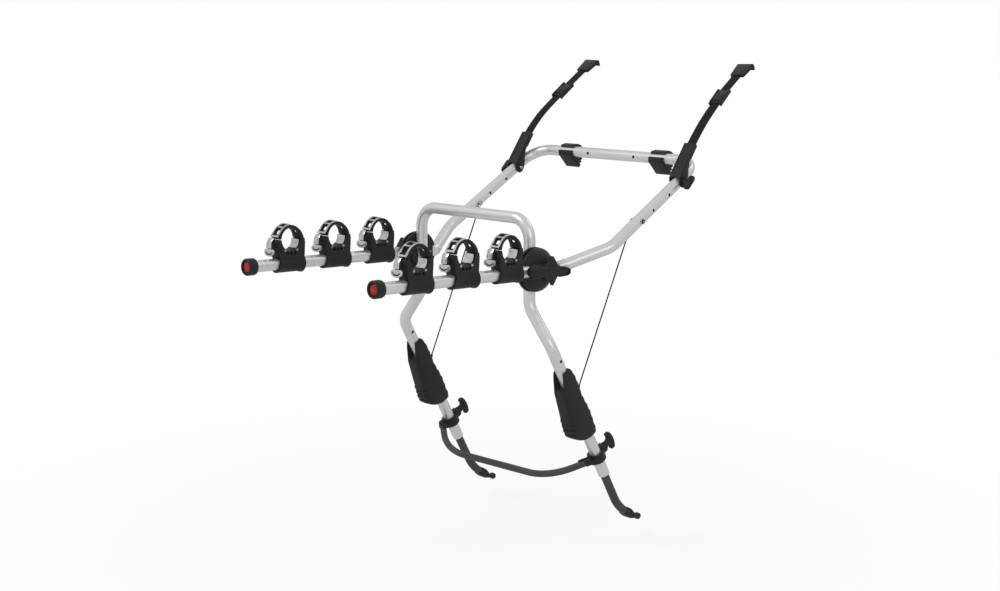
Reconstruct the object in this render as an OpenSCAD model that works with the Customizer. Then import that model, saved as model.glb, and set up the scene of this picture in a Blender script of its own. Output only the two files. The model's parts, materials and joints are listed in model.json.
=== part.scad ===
// Trunk mounted bike rack: a bent tube frame that hangs on a car's tailgate, with two folding arms
// that carry bikes in strapped cradles. Right is +X, the car is towards +Y and up is +Z.
// The origin is the middle of the axis about which the arms and the upper frame fold.

/* [Tubes] */
// Outer diameter of the frame tubes
tube_od = 25; // [24:0.5:26]
// Wall of the frame tubes
tube_wall = 1.8; // [1.5:0.1:2.5]
// Bend radius of the frame tubes
bend_r = 45; // [40:1:48]

/* [Hoop and legs] */
// Distance of each hoop post from the middle
post_x = 166; // [164:1:167]
// Height of the hoop's top bar above the fold axis
hoop_h = 104; // [95:1:120]
// Drop from the fold axis to where the legs splay out
splay_top = 81; // [75:1:90]
// Drop from the fold axis to where the legs turn towards the car
splay_low = 160; // [155:1:170]
// Distance of each leg from the middle
leg_x = 230; // [225:1:234]
// Angle of the legs from the vertical
leg_tilt = 29.2; // [25:0.1:33]
// Length of each leg below the splay
leg_len = 349; // [330:1:370]

/* [Upper frame] */
// Distance of each rail from the middle
rail_x = 250; // [248:1:258]
// Height of the top bar above the fold axis
bar_z = 201; // [190:1:215]
// Distance of the top bar from the fold axis
bar_y = 456; // [440:1:475]

/* [Arms] */
// Distance of each arm from the middle
arm_x = 198; // [197:0.5:200]
// Length of an arm from the fold axis to its reflector
arm_len = 460; // [450:1:500]
// Rise of the arms towards their free ends
arm_tilt = 1.7; // [0:0.1:4]
// Distance from the fold axis to the nearest cradle
first_cradle = 104; // [104:1:110]
// Distance between neighbouring cradles
cradle_pitch = 125; // [120:1:128]

/* [Cradles] */
// Inner radius of the loop that holds a bike's frame tube
loop_r = 24; // [22:0.5:25]
// Height of the loop's centre above the arm
loop_h = 52; // [50:0.5:54]
// Thickness of the strap over the loop
band_t = 4.5; // [4:0.1:5]
// Width of the strap over the loop
band_w = 26; // [22:1:28]

/* [Straps to the car] */
// Width of the webbing
web_w = 25; // [20:1:28]
// Thickness of the webbing
web_t = 2; // [1.5:0.1:2.5]

/* [Hidden] */
$fn = 48;
left = -1;
right = 1;
sides = [left, right];
rows = [1, 2, 3];
function side_name(side) = side == left ? "left" : "right";
pair_names = ["arm_tube", "hub_cover", "hub_lever", "rail_lug", "end_cap", "reflector", "boot",
    "clamp_knob", "hook_hose", "tail_hook", "rest_pad", "strap_bracket", "bracket_knob", "webbing",
    "cam_buckle",
    "top_hook", "stay_cable"];
row_names = ["cradle", "band", "buckle"];

// Colours of the finishes
silver = "#c4c4c8";
steel = "#9a9a9c";
black = "#262628";
rubber = "#303030";
hose_grey = "#3c3c3c";
red = "#c8201c";

// Radii, clearances and shared sizes
tube_r = tube_od / 2;
bore_r = tube_r - tube_wall;
snug = 0.1;
run = 0.05;
gap = 0.4;
bend_step = 12;
tube_sides = 20;
bar_sides = 16;
rod_sides = 12;

// Hub stack along X, from the post outwards
saddle_x = 180;
lug_x0 = 180.3;
lug_t = 4.9;
cover_x0 = 185.6;
rim_t = 4.5;
rim_r = 46;
cover_x1 = 212;
lever_x0 = 212.4;
lever_t = 12;
hub_bolt_r = 6;
bolt_head_x = 146;

// Routes of the two frame tubes on the right, from the outside inwards
leg_dir = [0, sin(leg_tilt), -cos(leg_tilt)];
leg_top = [leg_x, 0, -splay_low];
leg_end = leg_top + leg_len * leg_dir;
leg_route = [leg_end, leg_top, [post_x, 0, -splay_top], [post_x, 0, hoop_h]];
rail_start = [189, 58, -3];
rail_low = [rail_x, 165, 38];
rail_top = [rail_x, bar_y, bar_z];
rail_route = [rail_start, rail_low, rail_top];
rail_bend_r = 55;
rail_angle = atan2(bar_z - rail_low[2], bar_y - rail_low[1]);
function on_rail(y) = [rail_x, y, rail_low[2] + (y - rail_low[1]) * tan(rail_angle)];

// Strap bracket on the rail, and the webbing's route, which leans in towards the middle
bracket_at = on_rail(385);
bracket_lean = 36;
bracket_len = 96;
bracket_bolt_r = 4;
web_route = [[rail_x, 400, 199.8], [rail_x, 433, 245], [248, 467, 281], [245, 497, 306],
    [242.3, 523.5, 326], [238.7, 558.5, 352.5], [235.6, 634, 403]];

// Stations along the leg, from the splay downwards
boot_from = 56;
boot_to = 236;
clamp_at = 298;
bar_r = 7.5;
bar_start = [leg_x - 4, 117, -430];
bar_corner = [160, 66, -466];
bar_bend_r = 150;
hose_r = 9.5;
rod_r = 6;
hose_in = 60;
hook_corner = leg_top + (leg_len + 96) * leg_dir;
hook_end = [leg_x, 282, -590];
hook_dir = unit(hook_end - hook_corner);
hook_bend_r = 40;
hook_neck = 30;
cable_r = 1.5;
anchor_at = on_rail(250);
anchor_r = 3;
eye_r = 5;
eye_t = 6.5;
cable_top = anchor_at - [tube_r + eye_t / 2, 0, 0];
cable_low = [leg_x, 83, -262];

function unit(v) = v / norm(v);
function turn(a, b) = acos(max(-1, min(1, a * b)));
function mirrored(route) = [for (i = [len(route) - 1:-1:0]) [-route[i][0], route[i][1], route[i][2]]];

// Mirrors its children to the left where asked
module on_side(side) {
    if (side == right) children();
    else mirror([1, 0, 0]) children();
}

// Turns +Z along a direction and moves it to a place
module along(at, dir) {
    translate(at) rotate([0, acos(dir[2] / norm(dir)), atan2(dir[1], dir[0])]) children();
}

// A ring around a bore
module ring(r, bore) {
    difference() {
        circle(r);
        circle(bore);
    }
}

// Places and directions round one corner of a route
function corner_stations(a, p, b, bend) = let (
    u = unit(p - a), v = unit(b - p), angle = turn(u, v), n = unit(v - cos(angle) * u),
    centre = p - bend * tan(angle / 2) * u + bend * n, steps = ceil(angle / bend_step))
    [for (i = [0:steps]) let (w = i * angle / steps)
        [centre - bend * cos(w) * n + bend * sin(w) * u, cos(w) * u + sin(w) * n]];

// Places and directions along a whole route
function stations(route, bend) = let (last = len(route) - 1) concat(
    [[route[0], unit(route[1] - route[0])]],
    [for (i = [1:last - 1]) each corner_stations(route[i - 1], route[i], route[i + 1], bend)],
    [[route[last], unit(route[last] - route[last - 1])]]);

// A side direction carried along the stations without twist
function carried(places, i, side) = i == len(places) ? [] : let (
    d = places[i][1], s = unit(side - (side * d) * d)) concat([s], carried(places, i + 1, s));

// Rings of points round the stations
function rings(places, carry, r, n) = [for (i = [0:len(places) - 1], j = [0:n - 1]) let (
    a = 360 * j / n, s = carry[i]) places[i][0] + r * (cos(a) * s + sin(a) * cross(places[i][1], s))];

// Triangles of a wall between rings that start at one index, facing out or in
function wall_faces(count, n, first, outward) = [for (k = [0:count - 2], j = [0:n - 1]) let (
    a = first + k * n + j, b = first + k * n + (j + 1) % n)
    each outward ? [[a, a + n, b + n], [a, b + n, b]] : [[a, b + n, a + n], [a, b, b + n]]];

// Triangles that close a wall's end to the bore, facing back or on
function end_faces(outer, inner, n, back) = [for (j = [0:n - 1]) let (k = (j + 1) % n)
    each back ? [[outer + j, outer + k, inner + k], [outer + j, inner + k, inner + j]]
        : [[outer + j, inner + k, outer + k], [outer + j, inner + j, inner + k]]];

// A tube or, without a bore, a bar along a route with its corners bent to one radius
module bent_tube(route, bend, r, bore, n) {
    places = stations(route, bend);
    count = len(places);
    first_dir = places[0][1];
    carry = carried(places, 0, abs(first_dir[0]) < 0.9 ? [1, 0, 0] : [0, 0, 1]);
    inner = count * n;
    last = (count - 1) * n;
    if (bore > 0) polyhedron(
        concat(rings(places, carry, r, n), rings(places, carry, bore / cos(180 / n), n)),
        concat(wall_faces(count, n, 0, true), wall_faces(count, n, inner, false),
            end_faces(0, inner, n, true), end_faces(last, inner + last, n, false)));
    else polyhedron(rings(places, carry, r, n), concat(wall_faces(count, n, 0, true),
        [[for (j = [0:n - 1]) j], [for (j = [n - 1:-1:0]) last + j]]));
}

// A cylinder along X between two places, at the fold axis or at a given point across X
module x_rod(x0, x1, r, at = [0, 0]) {
    translate([x0, at[0], at[1]]) rotate([0, 90, 0]) cylinder(h = x1 - x0, r = r);
}

// An outline across X, given as (y, z), made a slab between two places on X
module x_slab(x0, x1) {
    translate([x0, 0, 0]) rotate([90, 0, 90]) linear_extrude(x1 - x0) children();
}

// The leg's own frame: its axis runs down along -Z and the car is towards +Y
module on_leg(station) {
    translate(leg_top + station * leg_dir) rotate([leg_tilt, 0, 0]) children();
}

// The arm's own frame: its axis runs out along -Y, through the fold axis
module on_arm() {
    translate([arm_x, 0, 0]) rotate([-arm_tilt, 0, 0]) children();
}

// One cradle's frame on the arm, counted from the free end
module on_cradle(side, row) {
    on_side(side) on_arm() translate([0, -first_cradle - (3 - row) * cradle_pitch, 0]) children();
}

// The strap bracket's own frame: its axis leans up along +Z from the rail
module on_bracket() {
    translate(bracket_at) rotate([-bracket_lean, 0, 0]) children();
}

hole_r = 2.5;

// Hoop, posts and legs, bent from one tube
module hoop_frame() {
    color(silver) difference() {
        bent_tube(concat(leg_route, mirrored(leg_route)), bend_r, tube_r, bore_r, tube_sides);
        for (s = sides) on_side(s) {
            x_rod(post_x - 2 * tube_r, post_x + 2 * tube_r, hub_bolt_r + run);
            on_leg(boot_from - 22) x_rod(-2 * tube_r, 2 * tube_r, hole_r);
        }
    }
}

// Rails and top bar, bent from one tube
module upper_frame() {
    color(silver) difference() {
        bent_tube(concat(rail_route, mirrored(rail_route)), rail_bend_r, tube_r, bore_r, tube_sides);
        for (s = sides) on_side(s) {
            x_rod(rail_x - 2 * tube_r, rail_x + 2 * tube_r, bracket_bolt_r + run,
                [bracket_at[1], bracket_at[2]]);
            x_rod(rail_x - 2 * tube_r, rail_x + 2 * tube_r, anchor_r + run, [anchor_at[1], anchor_at[2]]);
            for (y = [287, 340]) translate(on_rail(y)) x_rod(-2 * tube_r, 2 * tube_r, hole_r);
            translate([70, bar_y, bar_z]) rotate([90, 0, 0]) cylinder(h = 2 * tube_r, r = hole_r);
        }
    }
}

// Saddles that seat the hubs on the posts
module hub_saddles() {
    saddle_r = 30;
    color(black) for (s = sides) on_side(s) difference() {
        x_rod(post_x - 4, saddle_x, saddle_r);
        translate([post_x, 0, -saddle_r - 1]) cylinder(h = 2 * saddle_r + 2, r = tube_r + snug);
        x_rod(post_x - 5, saddle_x + 1, hub_bolt_r + run);
    }
}

// Bolts on the fold axis, with their hexagon heads inside the posts
module hub_bolts() {
    head_r = 10.5;
    color(steel) for (s = sides) on_side(s) {
        x_rod(bolt_head_x + 7, lever_x0 + lever_t - 3, hub_bolt_r);
        translate([bolt_head_x, 0, 0]) rotate([0, 90, 0]) cylinder(h = 7, r = head_r, $fn = 6);
    }
}

// Flat lug that turns on the hub bolt, with a socket and a plug for the rail's end
module rail_lug(side) {
    lug_r = 24;
    socket_r = tube_r + 2;
    rail_dir = unit(rail_low - rail_start);
    color(silver) on_side(side) {
        difference() {
            union() {
                x_rod(lug_x0, lug_x0 + lug_t, lug_r);
                translate([lug_x0, 0, -14]) cube([lug_t, 60, 22]);
                along(rail_start - 4 * rail_dir, rail_dir) cylinder(h = 14, r = socket_r);
            }
            x_rod(lug_x0 - 1, lug_x0 + lug_t + 1, hub_bolt_r + run);
            along(rail_start, rail_dir) cylinder(h = 60, r = tube_r + snug);
        }
        along(rail_start - 2 * rail_dir, rail_dir) cylinder(h = 24, r = bore_r - snug);
    }
}

// Domed cover that carries an arm round the hub bolt
module hub_cover(side) {
    depth = cover_x1 - cover_x0;
    boss_r = 15;
    color(black) on_side(side) difference() {
        translate([cover_x0, 0, 0]) rotate([0, 90, 0]) rotate_extrude($fn = 64) polygon(concat(
            [[0, 0], [rim_r - 1, 0], [rim_r, 1], [rim_r, rim_t]],
            [for (a = [15:15:75])
                [boss_r + (rim_r - boss_r) * cos(a), rim_t + (depth - rim_t - 4) * sin(a)]],
            [[boss_r, depth - 4], [boss_r, depth], [0, depth]]));
        x_rod(cover_x0 - 1, cover_x1 + 1, hub_bolt_r + run);
        on_arm() rotate([90, 0, 0]) translate([0, 0, 16]) cylinder(h = 60, r = tube_r + snug);
    }
}

// Lever on the hub bolt's outer end, which clamps the hub
module hub_lever(side) {
    reach = 66;
    tail = 48;
    color(black) on_side(side) difference() {
        union() {
            x_rod(lever_x0, lever_x0 + lever_t, 15);
            x_slab(lever_x0 + 1, lever_x0 + lever_t - 1) polygon([[-tail, -7], [-tail, 7], [10, 8], [44, 9],
                [reach, 5], [reach, -5], [44, -10], [10, -8]]);
            for (z = [-1, 1]) x_slab(lever_x0 + 3, lever_x0 + lever_t - 5)
                polygon([[6, 7 * z], [18, 30 * z], [24, 28 * z], [36, 8 * z]]);
        }
        x_rod(lever_x0 - 1, lever_x0 + lever_t - 2.9, hub_bolt_r + run);
    }
}

// Arm that carries the bikes
module arm_tube(side) {
    color(silver) on_side(side) on_arm() rotate([90, 0, 0]) translate([0, 0, 18])
        linear_extrude(arm_len - 18 - 12) ring(tube_r, bore_r);
}

// Cap over the arm's free end, with its plug in the bore
module end_cap(side) {
    cap_r = tube_r + 3.5;
    cap_len = 34;
    outside = [[0, 0], [cap_r - 2.5, 0], [cap_r, 2.5], [cap_r, cap_len - 2], [cap_r - 1, cap_len]];
    inside = [[tube_r + snug, cap_len], [tube_r + snug, 11], [bore_r - snug, 11],
        [bore_r - snug, 26], [0, 26]];
    color(black) on_side(side) on_arm() translate([0, -arm_len + 1, 0]) rotate([-90, 0, 0]) difference() {
        rotate_extrude() polygon(concat(outside, inside));
        translate([0, 0, -1]) cylinder(h = 3, r = tube_r);
    }
}

// Reflector let into the cap
module reflector(side) {
    lens_r = tube_r - snug;
    color(red) on_side(side) on_arm() translate([0, -arm_len, 0]) rotate([-90, 0, 0])
        rotate_extrude() polygon([[0, 0], [lens_r - 1.5, 0.4], [lens_r, 1.4], [lens_r, 3], [0, 3]]);
}

// Cradle: a sleeve on the arm and the lower half of the loop, with pins for the band and the buckle
sleeve_r = 18;
sleeve_len = 62;
cradle_w = 34;
band_pin = [33.5, 50];
buckle_pin = [-37, 50];
pin_r = 1.6;
knuckle_r = 4;
ear_t = 5;
module cradle(side, row) {
    half = sleeve_len / 2;
    wall = loop_r + band_t;
    ear_in = band_w / 2 - ear_t;
    color(black) on_cradle(side, row) difference() {
        union() {
            rotate([90, 0, 0]) translate([0, 0, -half]) cylinder(h = sleeve_len, r = sleeve_r);
            x_slab(-cradle_w / 2, cradle_w / 2)
                polygon([[-half, 0], [half, 0], [half, 22], [wall + 0.5, loop_h],
                    [-wall - 0.5, loop_h], [-half, 22]]);
            for (x = [-1, 1], p = [band_pin, buckle_pin]) translate([x * (ear_in + ear_t / 2), 0, 0])
                x_slab(-ear_t / 2, ear_t / 2) {
                    translate(p) circle(knuckle_r);
                    polygon([[sign(p[0]) * (wall - 2), 26], [sign(p[0]) * (abs(p[0]) - 3), 34],
                        [p[0] + sign(p[0]) * 3.6, p[1] - 1.8], [p[0] - sign(p[0]) * 3.8, p[1] + 1.4],
                        [sign(p[0]) * (wall - 2), loop_h]]);
                }
            for (p = [band_pin, buckle_pin]) x_rod(-ear_in - 1, ear_in + 1, pin_r, p);
        }
        rotate([90, 0, 0]) translate([0, 0, -half - 1]) cylinder(h = sleeve_len + 2, r = tube_r + snug);
        x_rod(-cradle_w, cradle_w, loop_r, [0, loop_h]);
    }
}

// Band over the loop, slotted like a ladder towards the buckle
module band(side, row) {
    tongue_w = 2 * (band_w / 2 - ear_t) - 2 * gap;
    rise = 0.6;
    color(black) on_cradle(side, row) difference() {
        union() {
            translate([-band_w / 2, 0, loop_h]) rotate([90, 0, 90]) difference() {
                rotate_extrude(angle = 180) translate([loop_r, 0]) square([band_t, band_w]);
                translate([-loop_r * 2, -loop_r, -1]) cube([loop_r * 4, loop_r + rise, band_w + 2]);
            }
            x_rod(-tongue_w / 2, tongue_w / 2, knuckle_r, band_pin);
            x_slab(-tongue_w / 2, tongue_w / 2)
                polygon([[loop_r + 1, loop_h + rise], [loop_r + 1, loop_h + 10],
                    [band_pin[0] + 1, band_pin[1] + 3.8], [band_pin[0] - 3.4, band_pin[1] + 2.6]]);
        }
        x_rod(-band_w, band_w, pin_r + run, band_pin);
        for (a = [105, 127, 149]) translate([0, 0, loop_h]) rotate([a, 0, 0])
            translate([-band_w / 2 + 5, loop_r - 1, -3.5]) cube([band_w - 10, band_t + 2, 7]);
    }
}

// Buckle lever that grips the band's ladder
module buckle(side, row) {
    tongue_w = 2 * (band_w / 2 - ear_t) - 2 * gap;
    plate_w = 25;
    y = buckle_pin[0];
    z = buckle_pin[1];
    color(silver) on_cradle(side, row) difference() {
        union() {
            x_rod(-tongue_w / 2, tongue_w / 2, knuckle_r, buckle_pin);
            x_slab(-tongue_w / 2, tongue_w / 2)
                polygon([[y - 1, z + 3], [y - 1, z - 3.8], [y - 6, z - 6], [y - 8, z + 3]]);
            x_slab(-plate_w / 2, plate_w / 2) polygon([[y - 4.6, z + 3], [y - 4.6, z - 8], [y - 6, z - 22],
                [y - 4, z - 30], [y - 8, z - 31], [y - 11, z - 22], [y - 10, z - 6], [y - 8, z + 3]]);
        }
        x_rod(-plate_w, plate_w, pin_r + run, buckle_pin);
        x_slab(-plate_w / 2 + 6, plate_w / 2 - 6)
            polygon([[y - 13, z - 17], [y - 9, z - 17], [y - 8, z - 24], [y - 13, z - 24]]);
    }
}

// Rubber boot on the leg, open in a notch at the front
module boot(side) {
    len = boot_to - boot_from;
    color(rubber) on_side(side) on_leg(boot_from) difference() {
        hull() {
            translate([0, 4, -6]) rotate([90, 0, 0]) cylinder(h = 30, r = 6, center = true, $fn = 32);
            translate([0, 3, -22]) cube([42, 44, 16], center = true);
            translate([0, 0, -60]) cube([48, 48, 8], center = true);
            translate([0, -6, 30 - len]) cube([46, 56, 10], center = true);
            translate([0, -6, 4 - len]) cube([36, 46, 8], center = true);
        }
        translate([0, 0, -len - 1]) cylinder(h = len + 2, r = tube_r + snug);
        x_slab(-30, 30) polygon([[-60, 10], [4, 10], [-12, -44], [-16, -58], [-60, -70]]);
        for (i = [0:5]) translate([-40, -40, 20 - len + 12 * i]) rotate([45, 0, 0]) cube([80, 6, 6]);
    }
}

// Clamps on the legs that hold the cross bar
module leg_clamps() {
    h = 22;
    r = 20;
    color(black) for (s = sides) on_side(s) difference() {
        union() {
            on_leg(clamp_at) translate([0, 0, -h / 2]) cylinder(h = h, r = r);
            on_leg(clamp_at) translate([0, 0, 4]) rotate([-90, 0, 0]) cylinder(h = 31, r = 11);
            along(bar_start - 14 * unit(bar_corner - bar_start), bar_corner - bar_start)
                cylinder(h = 22, r = bar_r + 3);
        }
        on_leg(clamp_at) translate([0, 0, -40]) cylinder(h = 80, r = tube_r + snug);
        on_leg(clamp_at) translate([0, tube_r + 4, 4]) rotate([-90, 0, 0]) cylinder(h = 31, r = 4 + run);
        along(bar_start, bar_corner - bar_start) cylinder(h = 40, r = bar_r + snug);
    }
}

// Hand knob whose screw tightens a leg clamp
module clamp_knob(side) {
    color(black) on_side(side) on_leg(clamp_at) translate([0, 0, 4]) rotate([-90, 0, 0]) {
        translate([0, 0, 20]) cylinder(h = 13, r = 4);
        translate([0, 0, 32]) cylinder(h = 10, r = 8);
        translate([0, 0, 42]) cylinder(h = 8, r1 = 8, r2 = 11);
        translate([0, 0, 50]) linear_extrude(9)
            hull() for (y = [-1, 1]) translate([0, 14 * y]) circle(6.5, $fn = 32);
    }
}

// Hose covered bar across the legs
module cross_bar() {
    half = [bar_start, bar_corner];
    color(hose_grey) bent_tube(concat(half, mirrored(half)), bar_bend_r, bar_r, 0, bar_sides);
}

// Hose over the rod of a lower hook, which slides in the leg
module hook_hose(side) {
    start = leg_end - hose_in * leg_dir;
    neck_end = hook_corner + hook_neck * hook_dir;
    color(rubber) on_side(side)
        bent_tube([start, hook_corner, neck_end], hook_bend_r, hose_r, rod_r + snug, bar_sides);
}

// Lower hook with its rod, for the tailgate's bottom edge
module tail_hook(side) {
    start = leg_end - hose_in * leg_dir;
    flat_at = hook_corner + hook_neck * hook_dir;
    ball_r = 8;
    color(black) on_side(side) {
        bent_tube([start, hook_corner, flat_at], hook_bend_r, rod_r, 0, rod_sides);
        along(flat_at, hook_dir) {
            cylinder(h = 8, r = 8);
            translate([-3, -9, 6]) cube([6, 18, 34]);
        }
        translate(hook_end + [0, 0, 4]) rotate([0, 90, 0]) cylinder(h = 18, r = ball_r, center = true);
    }
}

// Rubber pad that clips on the top bar and rests on the car
module rest_pad(side) {
    w = 42;
    from_x = 116;
    low = -40;
    color(rubber) on_side(side) translate([0, bar_y, bar_z]) difference() {
        x_slab(from_x, from_x + w) polygon(concat([[-7, 14], [8, 17.5], [24, 15]],
            [for (i = [0:3], t = [0, 1]) [26 + 3 * i + 3 * t, 8 - 13 * i - 6 * t]],
            [[32, low], [10, low], [-16, -11], [-12, -6]]));
        x_rod(from_x - 1, from_x + w + 1, tube_r + snug);
    }
}

// Bracket that leans up from the rail and holds a strap's lower end
module strap_bracket(side) {
    cheek_in = tube_r + 0.6;
    cheek_t = 4;
    w = 2 * (cheek_in + cheek_t);
    lip_from = 54;
    front = [[-17, 14], [-17, bracket_len], [-12.5, bracket_len], [-12.5, 14]];
    lip = [[-7.5, lip_from], [-8.5, bracket_len], [-6.5, bracket_len], [-3, lip_from + 10], [-1, lip_from]];
    color(black) on_side(side) on_bracket() difference() {
        union() {
            for (x = [-cheek_in - cheek_t, cheek_in]) x_slab(x, x + cheek_t) {
                circle(13);
                polygon([[-17, 8], [-17, bracket_len], [-9, bracket_len], [6, 40], [13, 4], [-12, -5]]);
            }
            x_slab(-w / 2, w / 2) polygon(front);
            x_slab(-w / 2, w / 2) polygon(lip);
        }
        x_rod(-w, w, bracket_bolt_r + run);
    }
}

// Knob with the bolt that fixes a strap bracket to its rail
module bracket_knob(side) {
    x = tube_r + 0.6 + 4;
    color(black) on_side(side) translate(bracket_at) {
        x_rod(-x - 3, x + 4, bracket_bolt_r);
        x_rod(x + 0.4, x + 10, 9);
        translate([x + 10, 0, 0]) rotate([0, 90, 0]) linear_extrude(10)
            hull() for (t = [-1, 1]) translate([12 * t, 0]) circle(7, $fn = 32);
    }
}

// Directions, normals and corners of the webbing along its route
function web_way(i) = unit(web_route[min(len(web_route) - 1, i + 1)] - web_route[max(0, i - 1)]);
function web_normal(i) = unit([0, -web_way(i)[2], web_way(i)[1]]);
function web_ring(i) = [for (c = [[1, -1], [-1, -1], [-1, 1], [1, 1]])
    web_route[i] + [c[0] * web_w / 2, 0, 0] + c[1] * web_t / 2 * web_normal(i)];

// A frame on the webbing at a point, whose Y runs along a step of the route and Z off its face
module on_web(at, step) {
    way = unit(step);
    off = unit([0, -way[2], way[1]]);
    across = cross(way, off);
    multmatrix([for (k = [0:2]) [across[k], way[k], off[k], at[k]]]) children();
}

// Webbing strap to the top hook
module webbing(side) {
    count = len(web_route);
    last = 4 * (count - 1);
    color(black) on_side(side) polyhedron([for (i = [0:count - 1]) each web_ring(i)],
        concat(wall_faces(count, 4, 0, true), [[0, 1, 2, 3], [last + 3, last + 2, last + 1, last]]));
}

// Cam buckle that shortens the strap
module cam_buckle(side) {
    a = web_route[4];
    b = web_route[5];
    len = norm(b - a) - 4;
    w = 34;
    tray = [[-len / 2, -5], [-len / 2, 5], [-len / 4, 8], [len / 3, 8], [len / 2, 4], [len / 2, -5]];
    lever = [[-len / 2 + 6, 1.6], [-len / 2 + 6, 6], [4, 10], [8, 1.6]];
    color(black) on_side(side) on_web((a + b) / 2, b - a)
        difference() {
            union() {
                x_slab(-w / 2, w / 2) polygon(tray);
                x_slab(-w / 2 - 2, w / 2 + 2) polygon(lever);
            }
            cube([web_w + 2 * gap, len + 2, web_t + 2 * gap], center = true);
        }
}

// Upper hook for the tailgate's top edge
module top_hook(side) {
    end = web_route[len(web_route) - 1];
    before = web_route[len(web_route) - 2];
    w = 42;
    plate = [[-34, -4.5], [-34, 4.5], [10, 4.5], [17, -2], [19, -15], [13, -16], [12, -6], [8, -4.5]];
    color(black) on_side(side) on_web(end, end - before) difference() {
        x_slab(-w / 2, w / 2) polygon(plate);
        translate([0, -17, 0]) cube([web_w + 2 * gap, 40, web_t + 2 * gap], center = true);
    }
}

// Stay cable between a rail and a boot, which stops the frame from opening further
module stay_cable(side) {
    end_gap = eye_r + 1;
    dir = cable_top - cable_low;
    color(black) on_side(side) along(cable_low, dir)
        cylinder(h = norm(dir) - end_gap, r = cable_r, $fn = 24);
}

// Bolts through the rails, with eyes inside for the stay cables and heads outside
module cable_anchors() {
    head_r = 6;
    at = [anchor_at[1], anchor_at[2]];
    color(steel) for (s = sides) on_side(s) {
        x_rod(rail_x - tube_r - eye_t, rail_x + tube_r + 2, anchor_r, at);
        x_rod(rail_x - tube_r - eye_t, rail_x - tube_r - gap, eye_r, at);
        x_rod(rail_x + tube_r + gap, rail_x + tube_r + 4, head_r, at);
    }
}

hoop_frame();
upper_frame();
hub_saddles();
hub_bolts();
leg_clamps();
cross_bar();
cable_anchors();
for (s = sides) {
    arm_tube(s);
    hub_cover(s);
    hub_lever(s);
    rail_lug(s);
    end_cap(s);
    reflector(s);
    boot(s);
    clamp_knob(s);
    hook_hose(s);
    tail_hook(s);
    rest_pad(s);
    strap_bracket(s);
    bracket_knob(s);
    webbing(s);
    cam_buckle(s);
    top_hook(s);
    stay_cable(s);
    for (i = rows) {
        cradle(s, i);
        band(s, i);
        buckle(s, i);
    }
}
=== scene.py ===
"""Trunk mounted bike rack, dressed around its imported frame.

Run as a script: it registers its operators, models each piece in turn and lights the rack.
Pieces are modelled in millimetres in a frame of their own, then set into the rack's frame in metres.
"""

import json
import math
from contextlib import contextmanager

import bmesh
import bpy
from bpy.props import FloatProperty, FloatVectorProperty, IntProperty, PointerProperty
from mathutils import Matrix, Vector

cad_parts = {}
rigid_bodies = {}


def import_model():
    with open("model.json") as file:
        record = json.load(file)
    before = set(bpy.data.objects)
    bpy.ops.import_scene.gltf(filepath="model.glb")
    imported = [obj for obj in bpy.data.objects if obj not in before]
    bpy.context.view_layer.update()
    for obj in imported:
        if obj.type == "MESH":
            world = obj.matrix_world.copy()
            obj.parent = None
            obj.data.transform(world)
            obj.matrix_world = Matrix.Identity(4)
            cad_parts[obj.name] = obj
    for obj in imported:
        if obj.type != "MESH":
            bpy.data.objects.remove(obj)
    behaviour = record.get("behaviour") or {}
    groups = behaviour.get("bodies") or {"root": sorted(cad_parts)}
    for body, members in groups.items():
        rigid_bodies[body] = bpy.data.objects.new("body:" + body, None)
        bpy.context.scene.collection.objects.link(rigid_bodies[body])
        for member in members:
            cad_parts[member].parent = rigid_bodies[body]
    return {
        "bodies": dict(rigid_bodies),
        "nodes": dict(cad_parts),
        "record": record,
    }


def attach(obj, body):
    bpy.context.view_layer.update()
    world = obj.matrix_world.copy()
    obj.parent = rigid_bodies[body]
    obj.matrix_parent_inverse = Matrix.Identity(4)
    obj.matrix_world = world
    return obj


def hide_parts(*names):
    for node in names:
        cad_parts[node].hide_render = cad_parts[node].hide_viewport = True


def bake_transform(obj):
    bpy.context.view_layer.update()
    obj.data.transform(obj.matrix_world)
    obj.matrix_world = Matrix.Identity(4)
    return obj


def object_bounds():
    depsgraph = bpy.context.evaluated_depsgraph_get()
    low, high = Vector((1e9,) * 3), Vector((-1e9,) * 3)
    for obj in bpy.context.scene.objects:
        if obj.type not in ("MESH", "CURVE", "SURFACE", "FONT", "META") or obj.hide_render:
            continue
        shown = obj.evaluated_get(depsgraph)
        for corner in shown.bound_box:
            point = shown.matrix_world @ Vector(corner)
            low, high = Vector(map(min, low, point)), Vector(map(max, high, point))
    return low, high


bl_info = {
    "name": "Trunk mounted bike rack",
    "version": (1, 0, 0),
    "blender": (4, 5, 0),
    "location": "View3D > Sidebar > Rack",
    "description": "Models the tubes, cradles, hubs, boots, pads, straps and hooks of a bike rack",
    "category": "Object",
}

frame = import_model()
CAD_BOX = [list(corner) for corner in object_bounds()]

MM = 0.001
SIDES = ("left", "right")
ROWS = (1, 2, 3)

# Driving sizes of the rack, in millimetres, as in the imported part
TUBE_R = 12.5
POST_X, HOOP_H, SPLAY_TOP, SPLAY_LOW = 166, 104, 81, 160
LEG_X, LEG_LEN, LEG_TILT = 230, 349, math.radians(29.2)
RAIL_X, BAR_Y, BAR_Z = 250, 456, 201
HOOP_BEND, RAIL_BEND = 45, 55
RAIL_HOLES, BAR_HOLE_X, LEG_HOLE_UP = (287, 340), 70, 22
ARM_X, ARM_LEN, ARM_TILT = 198, 460, math.radians(1.7)
FIRST_CRADLE, CRADLE_PITCH = 104, 125
LOOP_R, LOOP_H, BAND_T, BAND_W = 24, 52, 4.5, 26
BAND_PIN, BUCKLE_PIN = (33.5, 50), (-37, 50)
COVER_X0, COVER_X1, LEVER_X0, LEVER_T, LEVER_LEAN = 185.6, 212, 212.4, 12, -5

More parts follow.
